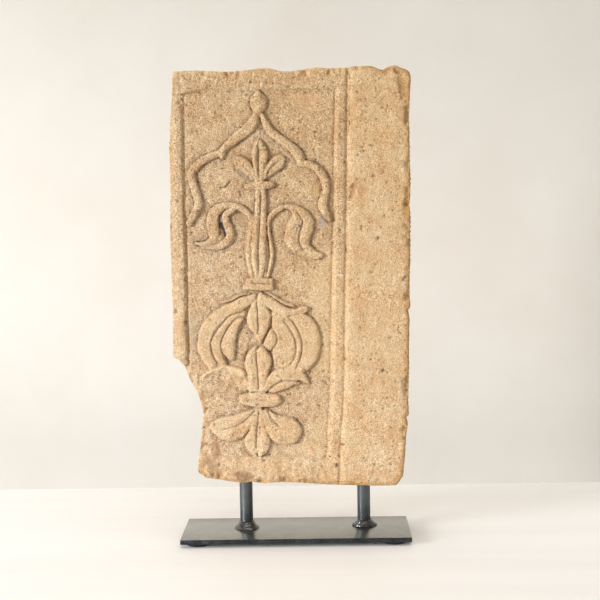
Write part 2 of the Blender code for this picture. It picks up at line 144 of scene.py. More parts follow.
LOW_LILY = [
    [(-3.5, 72.5, 4), (-11, 68.5, 6.5), (-21, 63.5, 9.5), (-30, 60.5, 12), (-38, 58.5, 11),
     (-44, 56.5, 6.5), (-47.5, 54.3, 2)],
    [(-2, 71, 4), (-7.5, 62, 7), (-15.5, 53, 10.5), (-23, 49, 13.5), (-31, 48.5, 12.5),
     (-38, 50.5, 9.5), (-44.5, 53.3, 4)],
    [(8, 73.5, 2.5), (13, 67, 6), (20, 61, 12), (28, 57.8, 17), (33.5, 53.8, 15.5),
     (35, 50, 14)],
    [(3.5, 71.5, 4.5), (6.5, 63, 7), (12, 53, 10.5), (18.5, 47, 14), (26, 45.8, 14.5),
     (33, 47.5, 15.5)],
    [(-1.5, 74, 3), (-6, 51.5, 8), (-8, 43, 12), (-7, 37, 10), (-2.5, 27, 3)],
    [(1, 75, 4.5), (4.5, 51.5, 8), (5, 42.5, 12.5), (4, 36, 11.5), (0.5, 27.5, 3)],
]
COLLARS = [
    [(-12.2, 285, 4.6), (-8, 285.8, 6.6), (0, 286.5, 8.2), (7, 286.6, 8.2), (12, 286.8, 7.2),
     (14.8, 287.4, 5)],
    [(-10.8, 196.5, 5), (13.3, 196.5, 5)],
    [(-13.7, 190, 6), (1, 189.8, 7.5), (13, 189.8, 6.8)],
    [(-15.5, 82.6, 9.5), (-10, 82.6, 12.5), (2.8, 82, 14.8), (14, 81.9, 12.6),
     (18.3, 82.6, 9)],
]

# Stone left standing between neighbouring strands, as (share of the relief, how softly its
# edge runs down, middle line with widths).
BODIES = [
    (0.92, 2.5, [(-15, 166, 10), (-30, 159, 14), (-39, 147, 18), (-42, 137, 18), (-39, 125, 16),
                 (-33, 114, 8)]),
    (0.92, 2.5, [(18, 166, 12), (29, 157, 20), (38, 145, 24), (40, 133, 26), (37, 121, 22),
                 (31, 112, 12)]),
    (0.88, 2.5, [(14, 165, 8), (19, 156, 14), (25, 142, 24), (25, 130, 25), (21, 116, 14)]),
    (0.25, 3.0, [(-8, 146, 6), (-14, 138, 12), (-17, 124, 12)]),
    (0.92, 2.5, [(2, 182, 8), (1.5, 165, 18), (1, 150, 12), (1, 140, 5)]),
    (0.92, 2.5, [(0, 131, 3), (0, 125, 12), (0, 116, 17), (0, 92, 14)]),
    (1.0, 1.6, [(-13, 107, 6), (-20, 111, 7), (-28, 113, 6), (-38, 112.5, 6), (-47, 109, 4.5),
                (-53, 104.5, 2)]),
    (0.7, 8.0, [(-8, 92, 12), (-12, 99, 17), (-18, 104, 19), (-27, 107.5, 15), (-38, 109, 10),
                (-48, 106.5, 5)]),
    (0.92, 2.0, [(9, 93, 6), (18, 99, 8), (26, 101.5, 8), (36, 101, 5)]),
    (0.9, 2.0, [(-5, 70, 8), (-15, 61.5, 10), (-26, 56, 12), (-36, 53.5, 11)]),
    (0.9, 2.0, [(6, 71, 7), (14, 61, 12), (22, 54, 18), (29, 51, 20)]),
    (0.9, 2.0, [(-1, 74, 7), (-1, 60, 10), (-1, 45, 14), (-1.5, 32, 6)]),
    (0.8, 2.0, [(8, 295, 5), (14, 301, 8), (21, 308, 7)]),
    (0.8, 2.0, [(-5, 295, 5), (-12, 303.5, 7), (-18, 306.5, 6)]),
    (0.85, 2.0, [(1, 292, 8), (2, 315, 10), (1.5, 325, 4)]),
    (0.8, 2.0, [(-34, 236, 10), (-42, 231, 8), (-54, 229, 4)]),
    (0.8, 2.0, [(36, 262, 7), (41, 251, 14), (38, 238, 14), (42, 227, 12), (50, 220, 8)]),
    (0.8, 2.0, [(2, 284, 8), (1, 240, 11), (0, 218, 12), (0.5, 200, 9)]),
    (0.82, 2.0, [(-5, 258, 6), (-5.8, 244, 8), (-7.5, 222, 9), (-5, 202, 7)]),
    (0.5, 2.5, [(1, 240, 14), (1, 218, 22), (1.5, 200, 18)]),
    (0.85, 2.0, [(-11, 193.3, 6), (1, 193.3, 7), (13, 193.3, 6)]),
]

# Fine lines cut between strands, as (share of the full depth, middle line).
CUT_LINES = [
    (1.0, [(0.3, 325), (0.4, 316), (0.4, 307), (0.8, 299), (0.8, 292.5)]),
    (1.0, [(18, 308), (12, 302), (8, 295)]),
    (0.5, [(-18.6, 306), (-14, 304.4), (-8.4, 299.8), (-4.8, 294.5)]),
    (0.3, [(-9, 282.2), (-3, 281.8), (5, 281.9), (11.5, 282.8)]),
    (0.9, [(2.8, 281.5), (2.7, 268.5), (1.8, 255), (1, 240.5), (0, 221.5), (0.4, 202.5)]),
    (0.8, [(7.6, 243.5), (9.4, 232.5), (9.9, 220), (7.5, 202.5)]),
    (0.5, [(-6, 239), (-6.9, 226.5), (-6.3, 213.5), (-3.2, 201)]),
    (1.0, [(35.5, 262.5), (40.2, 256.5), (42.1, 251), (38.6, 240.5), (39.2, 231), (43.6, 223)]),
    (0.7, [(-30, 238), (-37.5, 232.5), (-46, 229.5), (-55, 228)]),
    (0.5, [(-12, 193.4), (1, 193.4), (14, 193.4)]),
    (0.7, [(-34, 174), (-24.7, 176.3), (-16, 180.8), (-7.4, 182.4)]),
    (0.7, [(12.3, 181.2), (20, 175), (27, 171), (33.5, 169.4)]),
    (1.0, [(-1.1, 184.4), (-1.3, 173.5), (-0.5, 159), (0, 146.5)]),
    (1.0, [(-2.2, 129.5), (-2.2, 121), (-0.9, 111), (0, 91)]),
    (1.0, [(6.8, 172), (12.6, 163.5), (11, 151.5), (7.6, 144), (3.1, 135)]),
    (1.0, [(12.6, 150.5), (16.5, 145.5), (17.5, 139), (15.7, 134), (12.9, 130)]),
    (0.9, [(3.1, 134.6), (8.6, 130.6), (12.9, 124), (13.8, 118), (10.9, 111), (8.3, 103)]),
    (0.9, [(22.5, 159), (29.5, 150.5), (34.6, 140.5), (35.8, 130), (33.4, 120.5), (28, 114)]),
    (1.0, [(28, 161), (34.3, 154.5), (39.6, 145), (41.7, 134), (39.7, 122), (34.6, 111)]),
    (0.8, [(26.8, 162.3), (34.3, 163.5), (41.4, 166.6)]),
    (1.2, [(-8.2, 173.3), (-16, 167), (-26.3, 163.5), (-33.5, 156.7), (-42, 145), (-45.4, 138),
           (-44.7, 129), (-41.6, 121), (-36, 114.7)]),
    (1.1, [(-13.7, 163), (-22.4, 159), (-29.6, 150.5), (-34.3, 141.7), (-35.8, 133.8),
           (-33, 123.5), (-29, 117)]),
    (0.9, [(-12.6, 160), (-13.6, 153), (-19.7, 146.5), (-21.7, 138.5), (-21.6, 133.8)]),
    (0.35, [(-12, 162.3), (-11.4, 156), (-8.3, 149), (-1.6, 145.3)]),
    (0.6, [(-2.8, 135.8), (-9.9, 129), (-13.1, 122.7), (-13.4, 114), (-11.2, 106)]),
    (0.25, [(-50, 108.5), (-42, 113.3), (-34, 115.6), (-26, 116)]),
    (1.2, [(9.3, 91.7), (15.2, 96.5), (23, 100.3), (31, 101), (37.7, 99.3)]),
    (0.8, [(-13, 89.1), (-5, 89.9), (3, 90), (12, 89.3)]),
    (0.3, [(-13.3, 82.6), (-0.6, 82.3), (10.4, 82.7)]),
    (0.8, [(-11, 76.1), (-4, 74.6), (3, 74.2), (10, 74.6), (14.5, 75.4)]),
    (0.9, [(0.5, 73.7), (-0.3, 63.3), (-1.9, 52), (-2.6, 34.5)]),
    (0.9, [(-2.3, 73.7), (-10.2, 65), (-16.6, 60), (-26, 56), (-36.5, 53.6)]),
    (0.8, [(8, 73.7), (12.8, 64), (20.7, 56)]),
]

# A cut line's depth and half width, how it runs out at its ends, and the dirt and painted shade
# that lie in it.
CUT_DEPTH = 1.5
CUT_HALF = 0.8
CUT_TAPER = 4.0
CUT_AT_END = 0.3
CUT_DIRT_AND_SHADE = 1.7

# Strands, share of the full relief, and how much of the rise is a round crown and not a wall.
RELIEF_GROUPS = [
    (ARCH, 1.05, 0.85), (TOP_LILY, 1.08, 0.6), (STEM, 1.0, 0.75), (SCROLLED_LEAVES, 1.0, 0.7),
    (ONION_FLOWER, 1.0, 0.5), (THIN_LIPS, 0.5, 0.6), (LOW_LILY, 1.0, 0.5),
    (COLLARS, 1.25, 0.7),
]

# A strand is read every PATH_STEP along its middle and has blunt ends. Its wall runs out over
# a share of its half width, within limits, and its rise is held back where it is narrow.
PATH_STEP = 1.5
END_SQUARE = 2.2
WALL_SHARE = 0.4
WALL_RUN = (1.2, 3.0)
THIN_RISE = 0.7
RISE_PER_WIDTH = 0.45
LEAST_HALF = 0.5
ON_STRAND = 1.0
BODY_FOOT = -0.5

# How far beyond a strand, a cut line or a body its effect is worked out, and a distance that
# stands for places further out.
STRAND_FELT = 5
CUT_FELT = 4
BODY_FELT = 1
FAR = 99.0

# The hollow that the chisel left beside a strand, and the dirt and painted shade in it and further
# out on the ground.
MOAT_DEPTH = 1.0
MOAT_REACH = 1.6
WALL_FADE = 0.8
DIRT_AND_SHADE_SHARE = 0.4
DIRT_AND_SHADE_REACH = 6.0

# Frame lines of the panel as (along, place) pairs, how softly each line's step runs down, and
# the groove scored at its foot as (along, depth) pairs. All grooves are equally wide, and lie
# a share of that width beyond the middle of the step's run.
OUTER_LINE = [(-10, 79.5), (28, 79.8), (49, 81), (69, 82.5), (102, 83.6), (225, 85), (400, 86)]
INNER_LINE = [(20, 66.5), (35, 68), (69, 69.6), (102, 70.6), (130, 71.2), (376, 74.2)]
LEFT_LINE = [(112, -98), (116, -69), (130, -68.5), (244, -70.2), (300, -71), (372, -71.5)]
TOP_LINE = [(-72, 371.5), (-54, 375.5), (73, 376)]
FOOT_LINE = [(-60, 28.5), (-47, 28.5), (42, 27), (66, 25)]
OUTER_SOFT = [(0, 3.4), (230, 3.0), (400, 2.8)]
INNER_SOFT = [(25, 4.4), (130, 4.0), (230, 3.0), (380, 2.6)]
LEFT_SOFT = 1.1
TOP_SOFT = [(-72, 1.4), (-56, 1.6), (-44, 7.0), (10, 6.0), (26, 2.0), (73, 1.5)]
FOOT_SOFT = 2.4
OUTER_GROOVE = [(0, 1.3), (120, 1.1), (230, 1.6), (400, 2.0)]
INNER_GROOVE = [(25, 0.5), (180, 0.8), (230, 1.1), (380, 1.1)]
LEFT_GROOVE = [(112, 1.8), (160, 2.2), (240, 2.0), (262, 1.1), (372, 1.1)]
TOP_GROOVE = [(-72, 1.1), (-52, 0.9), (-38, 0.0), (16, 0.0), (26, 0.8), (73, 0.9)]
GROOVE_HALF = 1.3
GROOVE_OUT = 0.5

# The worn upper lip of a step: how deep and how far back. The left border is worn round.
LIP_DROP = 1.2
LIP_REACH = 3.0
LEFT_ROUND = 0.011

# Marks as (x, z, x, z, radius, depth, colour, share of colour): scrapes, holes, stains, painted
# shade and painted glints.
MARKS = [
    (-42, 38, -40, 29, 5.0, 0.2, "#a47a56", 0.6),
    (-47, 22, -41, 12, 6.5, 0.7, "#a67f5c", 0.6),
    (58, 215, 62, 120, 16.0, 0.0, "#dfc194", 0.35),
    (60, 60, 55, 40, 13.0, 0.0, "#dfc194", 0.25),
    (14, 34, 54, 33, 7.0, 0.0, "#e8d2ae", 0.3),
    (-20, 10, -8, 8, 4.6, 1.2, "#96694a", 0.6),
    # Hollows beside the two scrolls; their darker colour is painted shade.
    (-17.5, 256, -14, 249, 6.0, 0.9, "#a58c6c", 0.5),
    (22, 255, 25, 250, 5.0, 0.5, "#b39873", 0.35),
    (-2, 384, 52, 385.5, 5.0, 0.1, "#b08257", 0.35),
    # The next mark is a hollow at the top right corner; its brown colour is painted shadow.
    (134, 385, 137, 370, 4.6, 1.8, "#a0774b", 0.55),
    (128, 393, 132, 390, 2.0, 1.6, "#7d6344", 0.6),
    (-19, 299, -9, 291.8, 2.4, 0.3, "#8f7d69", 0.5),
    (-52, 105, -42, 110, 2.6, 0.0, "#e8d2ab", 0.4),
    (-42, 110, -31, 112.6, 3.4, 0.0, "#e8d2ab", 0.4),
    (-31, 112.6, -18, 109, 4.0, 0.0, "#e8d2ab", 0.35),
    (-64, 158, -62, 138, 9.0, 0.0, "#b09c80", 0.4),
    (-37, 180.5, -12, 188.5, 3.2, 0.0, "#dbcaad", 0.3),
    (12, 188, 34, 176, 3.2, 0.0, "#d5c0a0", 0.25),
    (36, 366, 56, 364, 6.0, 0.0, "#d0a078", 0.3),
    (-50, 232, -57, 236, 5.5, 0.2, "#b3a28a", 0.45),
    (-50, 88, -36, 96, 7.0, 0.6, "#b5976f", 0.35),
    (-30, 84, -24, 96, 4.0, 0.4, "#b5976f", 0.3),
    (91.5, 286, 87.6, 275, 2.8, 1.7, "#9a7450", 0.4),
    (-50, 26.7, -18, 27.3, 0.8, 0.3, "#b5a998", 0.5),
    (2, 27.6, 60, 25.4, 0.8, 0.2, "#cfc2ad", 0.4),
    (-36.5, 284.2, -31, 284.8, 0.9, 1.1, "#5d452f", 0.7),
    (-31, 284.8, -25.3, 291.2, 1.1, 1.3, "#5d452f", 0.75),
    (74.4, 20.5, 74.4, 18.5, 1.4, 1.6, "#5f462f", 0.75),
    # The slot in the left scroll: its near-black colour is painted shade, and the pale blue-grey
    # streaks are painted glints on a sliver in it.
    (-36.9, 258, -36.6, 246, 1.1, 1.4, "#33291f", 0.85),
    (-35.4, 250.5, -31, 239.5, 1.3, 1.6, "#352c24", 0.9),
    (-34.9, 257.5, -35.6, 253, 1.1, 0.2, "#c3cdd8", 0.95),
    (-34.0, 249.5, -31.4, 241, 0.55, 0.0, "#90979d", 0.7),
    (96, 322, 99, 322, 0.9, 0.9, "#6b5036", 0.6),
    (139.5, 200.5, 137, 197, 1.5, 1.2, "#5d452f", 0.6),
    (54, 310, 52.5, 306, 1.5, 1.0, "#7b654d", 0.5),
    (58.9, 255, 60.2, 247, 2.6, 0.3, "#9a9c98", 0.5),
    (-6.2, 121, -6.2, 118.5, 0.9, 0.2, "#4f7c94", 0.85),
    (50.8, 36, 53, 33.5, 1.9, 0.0, "#c9773f", 0.55),
    (139, 270, 138.6, 258, 2.9, 0.6, "#bb8a48", 0.65),
]

# Places where the face is flaked or weathered rough, as (x, z, radius, share).
ROUGH_PATCHES = [
    (77, 350, 26, 0.5), (77, 290, 30, 0.5), (77, 230, 26, 0.3), (-42, 92, 20, 1.2),
    (-22, 104, 12, 0.9), (-38, 109, 8, 0.6), (-13, 135, 8, 0.5), (-40, 22, 16, 1.1),
    (-15, 12, 16, 0.9), (22, 12, 18, 0.8), (60, 10, 26, 0.7), (110, 8, 26, 0.5),
    (50, 78, 18, 0.3), (-8, 40, 6, 0.5), (20, 46, 9, 0.4), (-55, 300, 14, 0.3),
    (30, 330, 20, 0.3), (45, 285, 16, 0.35), (-78, 376, 14, 0.9), (-50, 385, 14, 0.8),
    (0, 386, 16, 0.8), (50, 385, 14, 0.8), (105, 384, 14, 0.6), (132, 376, 14, 0.8),
    (138, 230, 12, 0.5), (138, 60, 12, 0.5),
]
ROUGHEST = 1.2

# Open pits of the coarse beds, sown at random: how many, from where to where across, over what
# heights, and the limits of their size, shape, depth and darkening.
PIT_SEED = 5
PITS = ((520, -78, 84), (110, 86, 138))
PIT_HEIGHTS = (6, 388)
PIT_RADIUS = (0.6, 1.5)
PIT_SHRUNK = (0.6, 1.0)
PIT_LENGTH_ROOT = 1.6
PIT_DEPTH = (0.5, 1.5)
PIT_DARKENING = (0.3, 0.75)
PIT_COLOUR = "#63503f"

# A mark's bowl runs out between these shares of its radius, and is felt so far at most.
BOWL = (0.35, 1.15)
MARK_REACH = 1.7
FAINTEST = 0.02

# Roughness as layers of soft noise, each with its height, the size of its features and a seed.
WANDER_X = [(0.3, 9, 1)]
WANDER_Z = [(0.3, 9, 2)]
UNEVEN = [(0.4, 26, 3), (0.4, 8, 4), (0.35, 3, 5)]
COARSE_BED = [(0.4, 5, 12)]
OPEN_BED = [(0.45, 2.4, 13)]
WEATHERED = [(1.2, 4, 15), (0.8, 9, 16), (1.0, 2.3, 17)]
FLAKES = [(1.0, 8, 18), (0.5, 3, 19)]
RAGGED_MARK = [(0.35, 1.7, 9), (0.25, 4, 10)]
HEWN = [(0.5, 16, 6), (0.35, 6, 7), (0.2, 2.8, 8)]
HOLLOWS = [(1.0, 34, 20), (0.6, 13, 21)]
WORN_EDGE = [(1.0, 11, 22)]
CRUST = [(1.5, 7, 14)]
BEADED = [(1.0, 3.0, 21)]

# The face: the share of its unevenness that shows, how far it all lies back so that nothing
# stands proud of the solid, and how much shallower a mark is on a strand.
UNEVEN_SHARE = 0.6
LAID_BACK = 0.4
SPARED_STRAND = 0.5

# Fine mesh of the stone: its voxels, the reach within which a vertex moves onto a line, its
# most triangles, the depth that counts as the face, and the depth behind which it is thinned
# so many times sooner.
VOXEL = 1.1
SNAP = 0.55 * VOXEL
MOST_TRIANGLES = 197000
FACE_DEPTH = 12.0
PLAIN_FROM = 7.5
PLAIN_FIRST = 1000.0

# The outline is read from the flanks, grown a little, and swells at (x, z, radius, height).
# The carved face fades out next to it, and chips are broken from its rim, fewer on the left.
FLANK_SLOPE = 0.4
FLANK_DEPTH = (8, 50)
RIM_EVERY = 4
RIM_BLEND = (0.6, 2.6)
OUTLINE_GROWN = 0.8
SWELLS = [(-77, 128, 20, 1.8), (-64, 103, 15, 1.4), (142, 250, 55, 1.1), (141, 67, 12, 1.4)]
CHIP_REACH = 3.5
CHIP_DEPTH = 8.0
CHIP_LEVEL = 0.05
CHIPPED_LEFT = 0.4
CHIPPED_FROM = (-80, -60)

# The sides and the back are not in the photograph: shallow hollows and worn back edges.
UNSEEN_DEPTH = (8, 22)
HOLLOW_DEPTH = 1.3
BACK_REACH = 4.0
BACK_WORN = 2.4
LEAST_WORN = -0.8

# The browner crust: a rim round the face, and all over the sides and the back. It is stronger to
# the right and at the foot, where it also paints the shade of the edges turned from the light.
CRUST_RIM = (0.3, 3)
CRUST_AND_SHADE_RIGHT = (60, 115)
CRUST_AND_SHADE_LOW = (-35, -12)
CRUST_LEAST = 0.2
CRUST_DEPTH = (8, 30)

# Where the stone looks like sunk ground: below this share of the relief, and on the upper band.
GROUND_SHARE = 0.4
DULL_BAND = (150, 260)

# Room left alone round a rod's hole, to the side and over its end.
ROD_CLEAR = 8.0
ROD_CLEAR_OVER = 2

# Patterns of the stone as (size of a feature, detail, roughness). The real grain of 0.3 mm is
# too fine for the render, so it is drawn at 0.8 mm. A noise's values between the two shares of
# STONE_CLOUDS or SOFT_CLOUDS run from its darker to its lighter colour.
STONE_PATTERNS = {
    "raised": (24, 4, 0.6), "sunk": (20, 4, 0.6), "coarse": (5.5, 4, 0.7),
    "grain": (0.8, 0, 0.5), "clots": (2.4, 2, 0.6), "swirl": (2.2, 2, 0.5),
}
STONE_COLOURS = {"raised": ("#c9a376", "#d3b991"), "sunk": ("#bf9c72", "#ceb38d")}
STONE_CLOUDS = (0.32, 0.68)
SOFT_CLOUDS = (0.3, 0.7)

# Crust, dirt and painted shade as (painted layer, strength, colour): crust on the rim, with
# painted shade to the right and at the foot, and dirt with painted shade in the creases.
STONE_CRUST_DIRT_AND_SHADE = (("rim", 0.5, "#b0854d"), ("crease_dirt_and_shade", 0.35, "#96826e"))

# Slow changes of tone as (axis, from and to, tone at the start, tone at the end). The change along
# Z is painted light: the stone is lighter low down, where the floor lights it.
TONE_SHIFTS_AND_PAINTED_LIGHT = (
    ("Z", (80, 430), (1.12, 1.145, 1.24), (0.95, 0.945, 0.94)),
    ("X", (-112, 0), (1.0, 1.03, 1.1), (1.0, 1.0, 1.0)),
)

# Tones that the patterns lay over the stone. The finer two are stronger on sunk ground: their
# strength is the second number, and the first times how sunk the place is.
COARSE_TONES = [(0.3, (0.84, 0.81, 0.76)), (0.7, (1.1, 1.1, 1.11))]
GRAIN_TONES = [(0.3, (0.56, 0.53, 0.5)), (0.5, (1.0, 1.0, 1.0)), (0.7, (1.37, 1.43, 1.5))]
CLOT_TONES = [(0.32, (0.84, 0.81, 0.77)), (0.5, (1.0, 1.0, 1.0)), (0.68, (1.1, 1.11, 1.13))]
GRAIN_STRENGTH = (0.3, 0.72)
CLOT_STRENGTH = (0.6, 0.35)

# Small open pits: how far apart, how ragged, which share of them stays closed, their radius as
# a share of the spacing, and how dark they are. The closed share is the second number and the
# first times how sunk the place is; the radius, the second and the first times a random share.
PIT_SPACING = 3.6
PIT_RAGGED = 2.0
PITS_CLOSED = (-0.25, 0.82)
PIT_SIZE = (0.16, 0.14)
PIT_MIDDLE = 0.04
PIT_DARK = 0.7
PIT_BROWN = "#5b452f"

# Bumps of the coarse bed, the clots and the pits: strength, depth, and whether they are sunk.
STONE_BUMPS = ((0.6, 2.2, False), (0.6, 1.0, False), (0.8, 0.6, True))

# Patterns of the steel as (size of a feature, detail, roughness): its mottle and mill scale,
# the scale's values between which flecks go from dark to bright, and how far the mottle makes
# the surface smoother or rougher.
STEEL_MOTTLE = (14, 6, 0.7)
MILL_SCALE = (1.3, 1, 0.5)
MILL_FLECKS = (0.35, 0.65)
SMOOTHER = 0.06
ROUGHER = 0.08

# The welded steel stand. Faces of the plate whose normal stands up by less than LEVEL_FACE are
# its cut edge. The weld's section is outwards and upwards, as shares of its size.
SHARP = math.radians(40)
PLATE_ROUNDING = 0.3
LEVEL_FACE = 0.95
ROD_FACETS = 96
ROD_ROUNDING = 0.6
PAD_FACETS = 64
PAD_ROUNDING = 0.9
WELD_STEPS = 96
WELD_SECTION = [
    (0.10, 0.98), (0.22, 0.86), (0.34, 0.70), (0.46, 0.55), (0.60, 0.42), (0.75, 0.32),
    (0.88, 0.22), (0.97, 0.12), (1.0, 0.0),
]
WELD_OFF_ROD = 0.05
WELD_FOOT = 0.3
WELD_TWIST = 6
WELD_LUMPY = 0.3

# The backdrop is painted darker upwards between these heights, in metres: painted shade.
BACKDROP_SHADE_HEIGHTS = (-0.06, 0.6)

# Random values that all the soft noise is read from.
LATTICE_SIDE = 32
LATTICE_SEED = 11
SEED_SHIFT = 7.3
LATTICE = np.random.default_rng(LATTICE_SEED).uniform(-1, 1, (LATTICE_SIDE,) * 3)


def linear(hex_colour):
    """An sRGB hex colour as linear RGBA."""
    values = [int(hex_colour[i:i + 2], 16) / 255 for i in (1, 3, 5)]
    return (*[v / 12.92 if v <= 0.04045 else ((v + 0.055) / 1.055) ** 2.4 for v in values], 1.0)


def fill(node, inputs):
    """Set each of a node's inputs to a value, or link it to a socket."""
    for key, value in inputs.items():
        if isinstance(value, bpy.types.NodeSocket):
            node.id_data.links.new(value, node.inputs[key])
        else:
            node.inputs[key].default_value = value


def add_node(tree, kind, inputs=None, stops=(), **settings):
    """Add a shader node with its settings, inputs and a ramp's stops. Gives its outputs."""
    made = tree.nodes.new("ShaderNode" + kind)
    for name, value in settings.items():
        setattr(made, name, value)
    fill(made, inputs or {})
    for _ in stops[2:]:
        made.color_ramp.elements.new(0.5)
    for i, (at, colour) in enumerate(stops):
        made.color_ramp.elements[i].position = at
        made.color_ramp.elements[i].color = (*colour, 1.0)[:4]
    return made.outputs


def new_material(name):
    """A material, add_node for its nodes, its Principled shader and its Object coordinates."""
    made = bpy.data.materials.new(name)
    made.use_nodes = True
    add = partial(add_node, made.node_tree)
    return made, add, made.node_tree.nodes["Principled BSDF"], add("TexCoord")["Object"]


def clouds(spread, dark, light):
    """A ramp's stops from one hex colour to another, between two values of a noise."""
    return [(at, linear(colour)) for at, colour in zip(spread, (dark, light))]


def per_metre(size):
    """Texture scale for a pattern whose features are that many millimetres across."""
    return 1000.0 / size


def sandstone():
    """Sandstone: warm quartz grains in a matt body, with open pits on the sunk ground."""
    made, add, shader, place = new_material("sandstone")
    painted = {
        name: add("Attribute", attribute_name=name)
        for name in ("stain_and_painted_light", "ground", "rim", "crease_dirt_and_shade")
    }
    ground = painted["ground"]["Fac"]
    pattern = {
        name: add("TexNoise", {
            "Vector": place, "Scale": per_metre(size), "Detail": detail, "Roughness": rough,
        })
        for name, (size, detail, rough) in STONE_PATTERNS.items()
    }
    coarse, grain, clots = (pattern[name]["Fac"] for name in ("coarse", "grain", "clots"))

    raised, sunk = (
        add("ValToRGB", {"Fac": pattern[name]["Fac"]}, clouds(STONE_CLOUDS, *pair))["Color"]
        for name, pair in STONE_COLOURS.items()
    )
    body = add("Mix", {0: ground, 6: raised, 7: sunk}, data_type="RGBA")[2]
    # Crust on the rim, partly painted shade, then dirt and painted shade in the creases.
    for name, strength, colour in STONE_CRUST_DIRT_AND_SHADE:
        share = add("Math", {0: painted[name]["Fac"], 1: strength}, operation="MULTIPLY")[0]
        body = add("Mix", {0: share, 6: body, 7: linear(colour)}, data_type="RGBA")[2]

    spot = add("SeparateXYZ", {"Vector": place})
    tones = []
    # Slow tone changes; the one along Z is painted light, lighter low down.
    for axis, (low, high), first, last in TONE_SHIFTS_AND_PAINTED_LIGHT:
        along = add("MapRange", {
            "Value": spot[axis], "From Min": low * MM, "From Max": high * MM,
        })["Result"]
        tones.append((1.0, along, [(0.0, first), (1.0, last)]))
    open_grain, open_clots, closed = (
        add("Math", {0: ground, 1: more, 2: least}, operation="MULTIPLY_ADD")[0]
        for more, least in (GRAIN_STRENGTH, CLOT_STRENGTH, PITS_CLOSED)
    )
    tones += [
        (1.0, coarse, COARSE_TONES), (open_grain, grain, GRAIN_TONES),
        (open_clots, clots, CLOT_TONES),
    ]
    for share, along, stops in tones:
        tone = add("ValToRGB", {"Fac": along}, stops)["Color"]
        body = add(
            "Mix", {0: share, 6: body, 7: tone}, data_type="RGBA", blend_type="MULTIPLY")[2]

    ragged = add("VectorMath", {
        0: pattern["swirl"]["Color"], 1: (PIT_RAGGED * MM,) * 3, 2: place,
    }, operation="MULTIPLY_ADD")["Vector"]
    cells = add("TexVoronoi", {
        "Vector": ragged, "Scale": per_metre(PIT_SPACING), "Randomness": 1.0,
    })
    lot = add("SeparateColor", {"Color": cells["Color"]})
    chosen = add("Math", {0: lot[0], 1: closed}, operation="GREATER_THAN")[0]
    radius = add("Math", {0: lot[1], 1: PIT_SIZE[0], 2: PIT_SIZE[1]}, operation="MULTIPLY_ADD")[0]
    near = add("MapRange", {
        "Value": cells["Distance"], "From Min": PIT_MIDDLE, "From Max": radius,
        "To Min": 1.0, "To Max": 0.0,
    })["Result"]
    pit = add("Math", {0: near, 1: chosen}, operation="MULTIPLY")[0]
    dark = add("Math", {0: pit, 1: PIT_DARK}, operation="MULTIPLY")[0]
    # Darker pits, then the marks' stains, painted shade and painted glints.
    stain_and_painted_light = painted["stain_and_painted_light"]
    for share, colour in ((dark, linear(PIT_BROWN)), (stain_and_painted_light["Alpha"], stain_and_painted_light["Color"])):
        body = add("Mix", {0: share, 6: body, 7: colour}, data_type="RGBA")[2]

    surface = {}
    for height, (strength, depth, sunken) in zip((coarse, clots, pit), STONE_BUMPS):
        surface = {"Normal": add("Bump", {
            "Height": height, "Strength": strength, "Distance": depth * MM, **surface,
        }, invert=sunken)["Normal"]}
    fill(shader, {"Base Color": body, "Roughness": 0.92, "Specular IOR Level": 0.25, **surface})
    return made


def blackened_steel(name, dark, light, bump_size, bump_depth, roughness, specks=0.0):
    """Hot rolled steel, blackened and waxed: half gloss over the bar's own mill surface."""
    made, add, shader, place = new_material(name)
    mottle, scale, skin = (
        add("TexNoise", {
            "Vector": place, "Scale": per_metre(size), "Detail": detail, "Roughness": rough,
        })["Fac"]
        for size, detail, rough in (STEEL_MOTTLE, MILL_SCALE, (bump_size, 3, 0.5))
    )
    colour = add("ValToRGB", {"Fac": mottle}, clouds(SOFT_CLOUDS, dark, light))["Color"]
    flecks = add("MapRange", {
        "Value": scale, "From Min": MILL_FLECKS[0], "From Max": MILL_FLECKS[1],
        "To Min": 1 - specks, "To Max": 1 + specks,
    })["Result"]
    spread = add("MapRange", {
        "Value": mottle, "To Min": roughness - SMOOTHER, "To Max": roughness + ROUGHER,
    })["Result"]
    bump = add("Bump", {"Height": skin, "Strength": 0.5, "Distance": bump_depth * MM})["Normal"]
    fill(shader, {
        "Base Color": add("VectorMath", {0: colour, "Scale": flecks}, operation="SCALE")["Vector"],
        "Roughness": spread, "Metallic": 0.9, "Normal": bump,
    })
    return made


def pad_rubber():
    """Moulded rubber: nearly black and matt, with a faint grain."""
    made, add, shader, place = new_material("pad rubber")
    grain = add("TexNoise", {"Vector": place, "Scale": per_metre(1.2), "Detail": 2.0})["Fac"]
    tone = add("ValToRGB", {"Fac": grain}, clouds((0, 1), "#17171a", "#2a2a2c"))
    bump = add("Bump", {"Height": grain, "Strength": 0.3, "Distance": 0.2 * MM})
    fill(shader, {"Base Color": tone["Color"], "Roughness": 0.7, "Normal": bump["Normal"]})
    return made


def smooth_path(points, step):
    """Read a Catmull-Rom curve through the points about every step millimetres."""
    before = [2 * a - b for a, b in zip(points[0], points[1])]
    after = [2 * a - b for a, b in zip(points[-1], points[-2])]
    held = [before, *points, after]
    path = []
    for p0, p1, p2, p3 in zip(held, held[1:], held[2:], held[3:]):
        count = max(1, round(math.dist(p1[:2], p2[:2]) / step))
        for k in range(count):
            t = k / count
            path.append([
                0.5 * (2 * b + (c - a) * t + (2 * a - 5 * b + 4 * c - d) * t * t
                       + (3 * b - a - 3 * c + d) * t ** 3)
                for a, b, c, d in zip(p0, p1, p2, p3)
            ])
    path.append(list(points[-1]))
    return np.array(path)


def smoothstep(low, high, values):
    """0 below low, 1 above high, and a soft S between."""
    t = np.clip((values - low) / (high - low), 0.0, 1.0)
    return t * t * (3.0 - 2.0 * t)


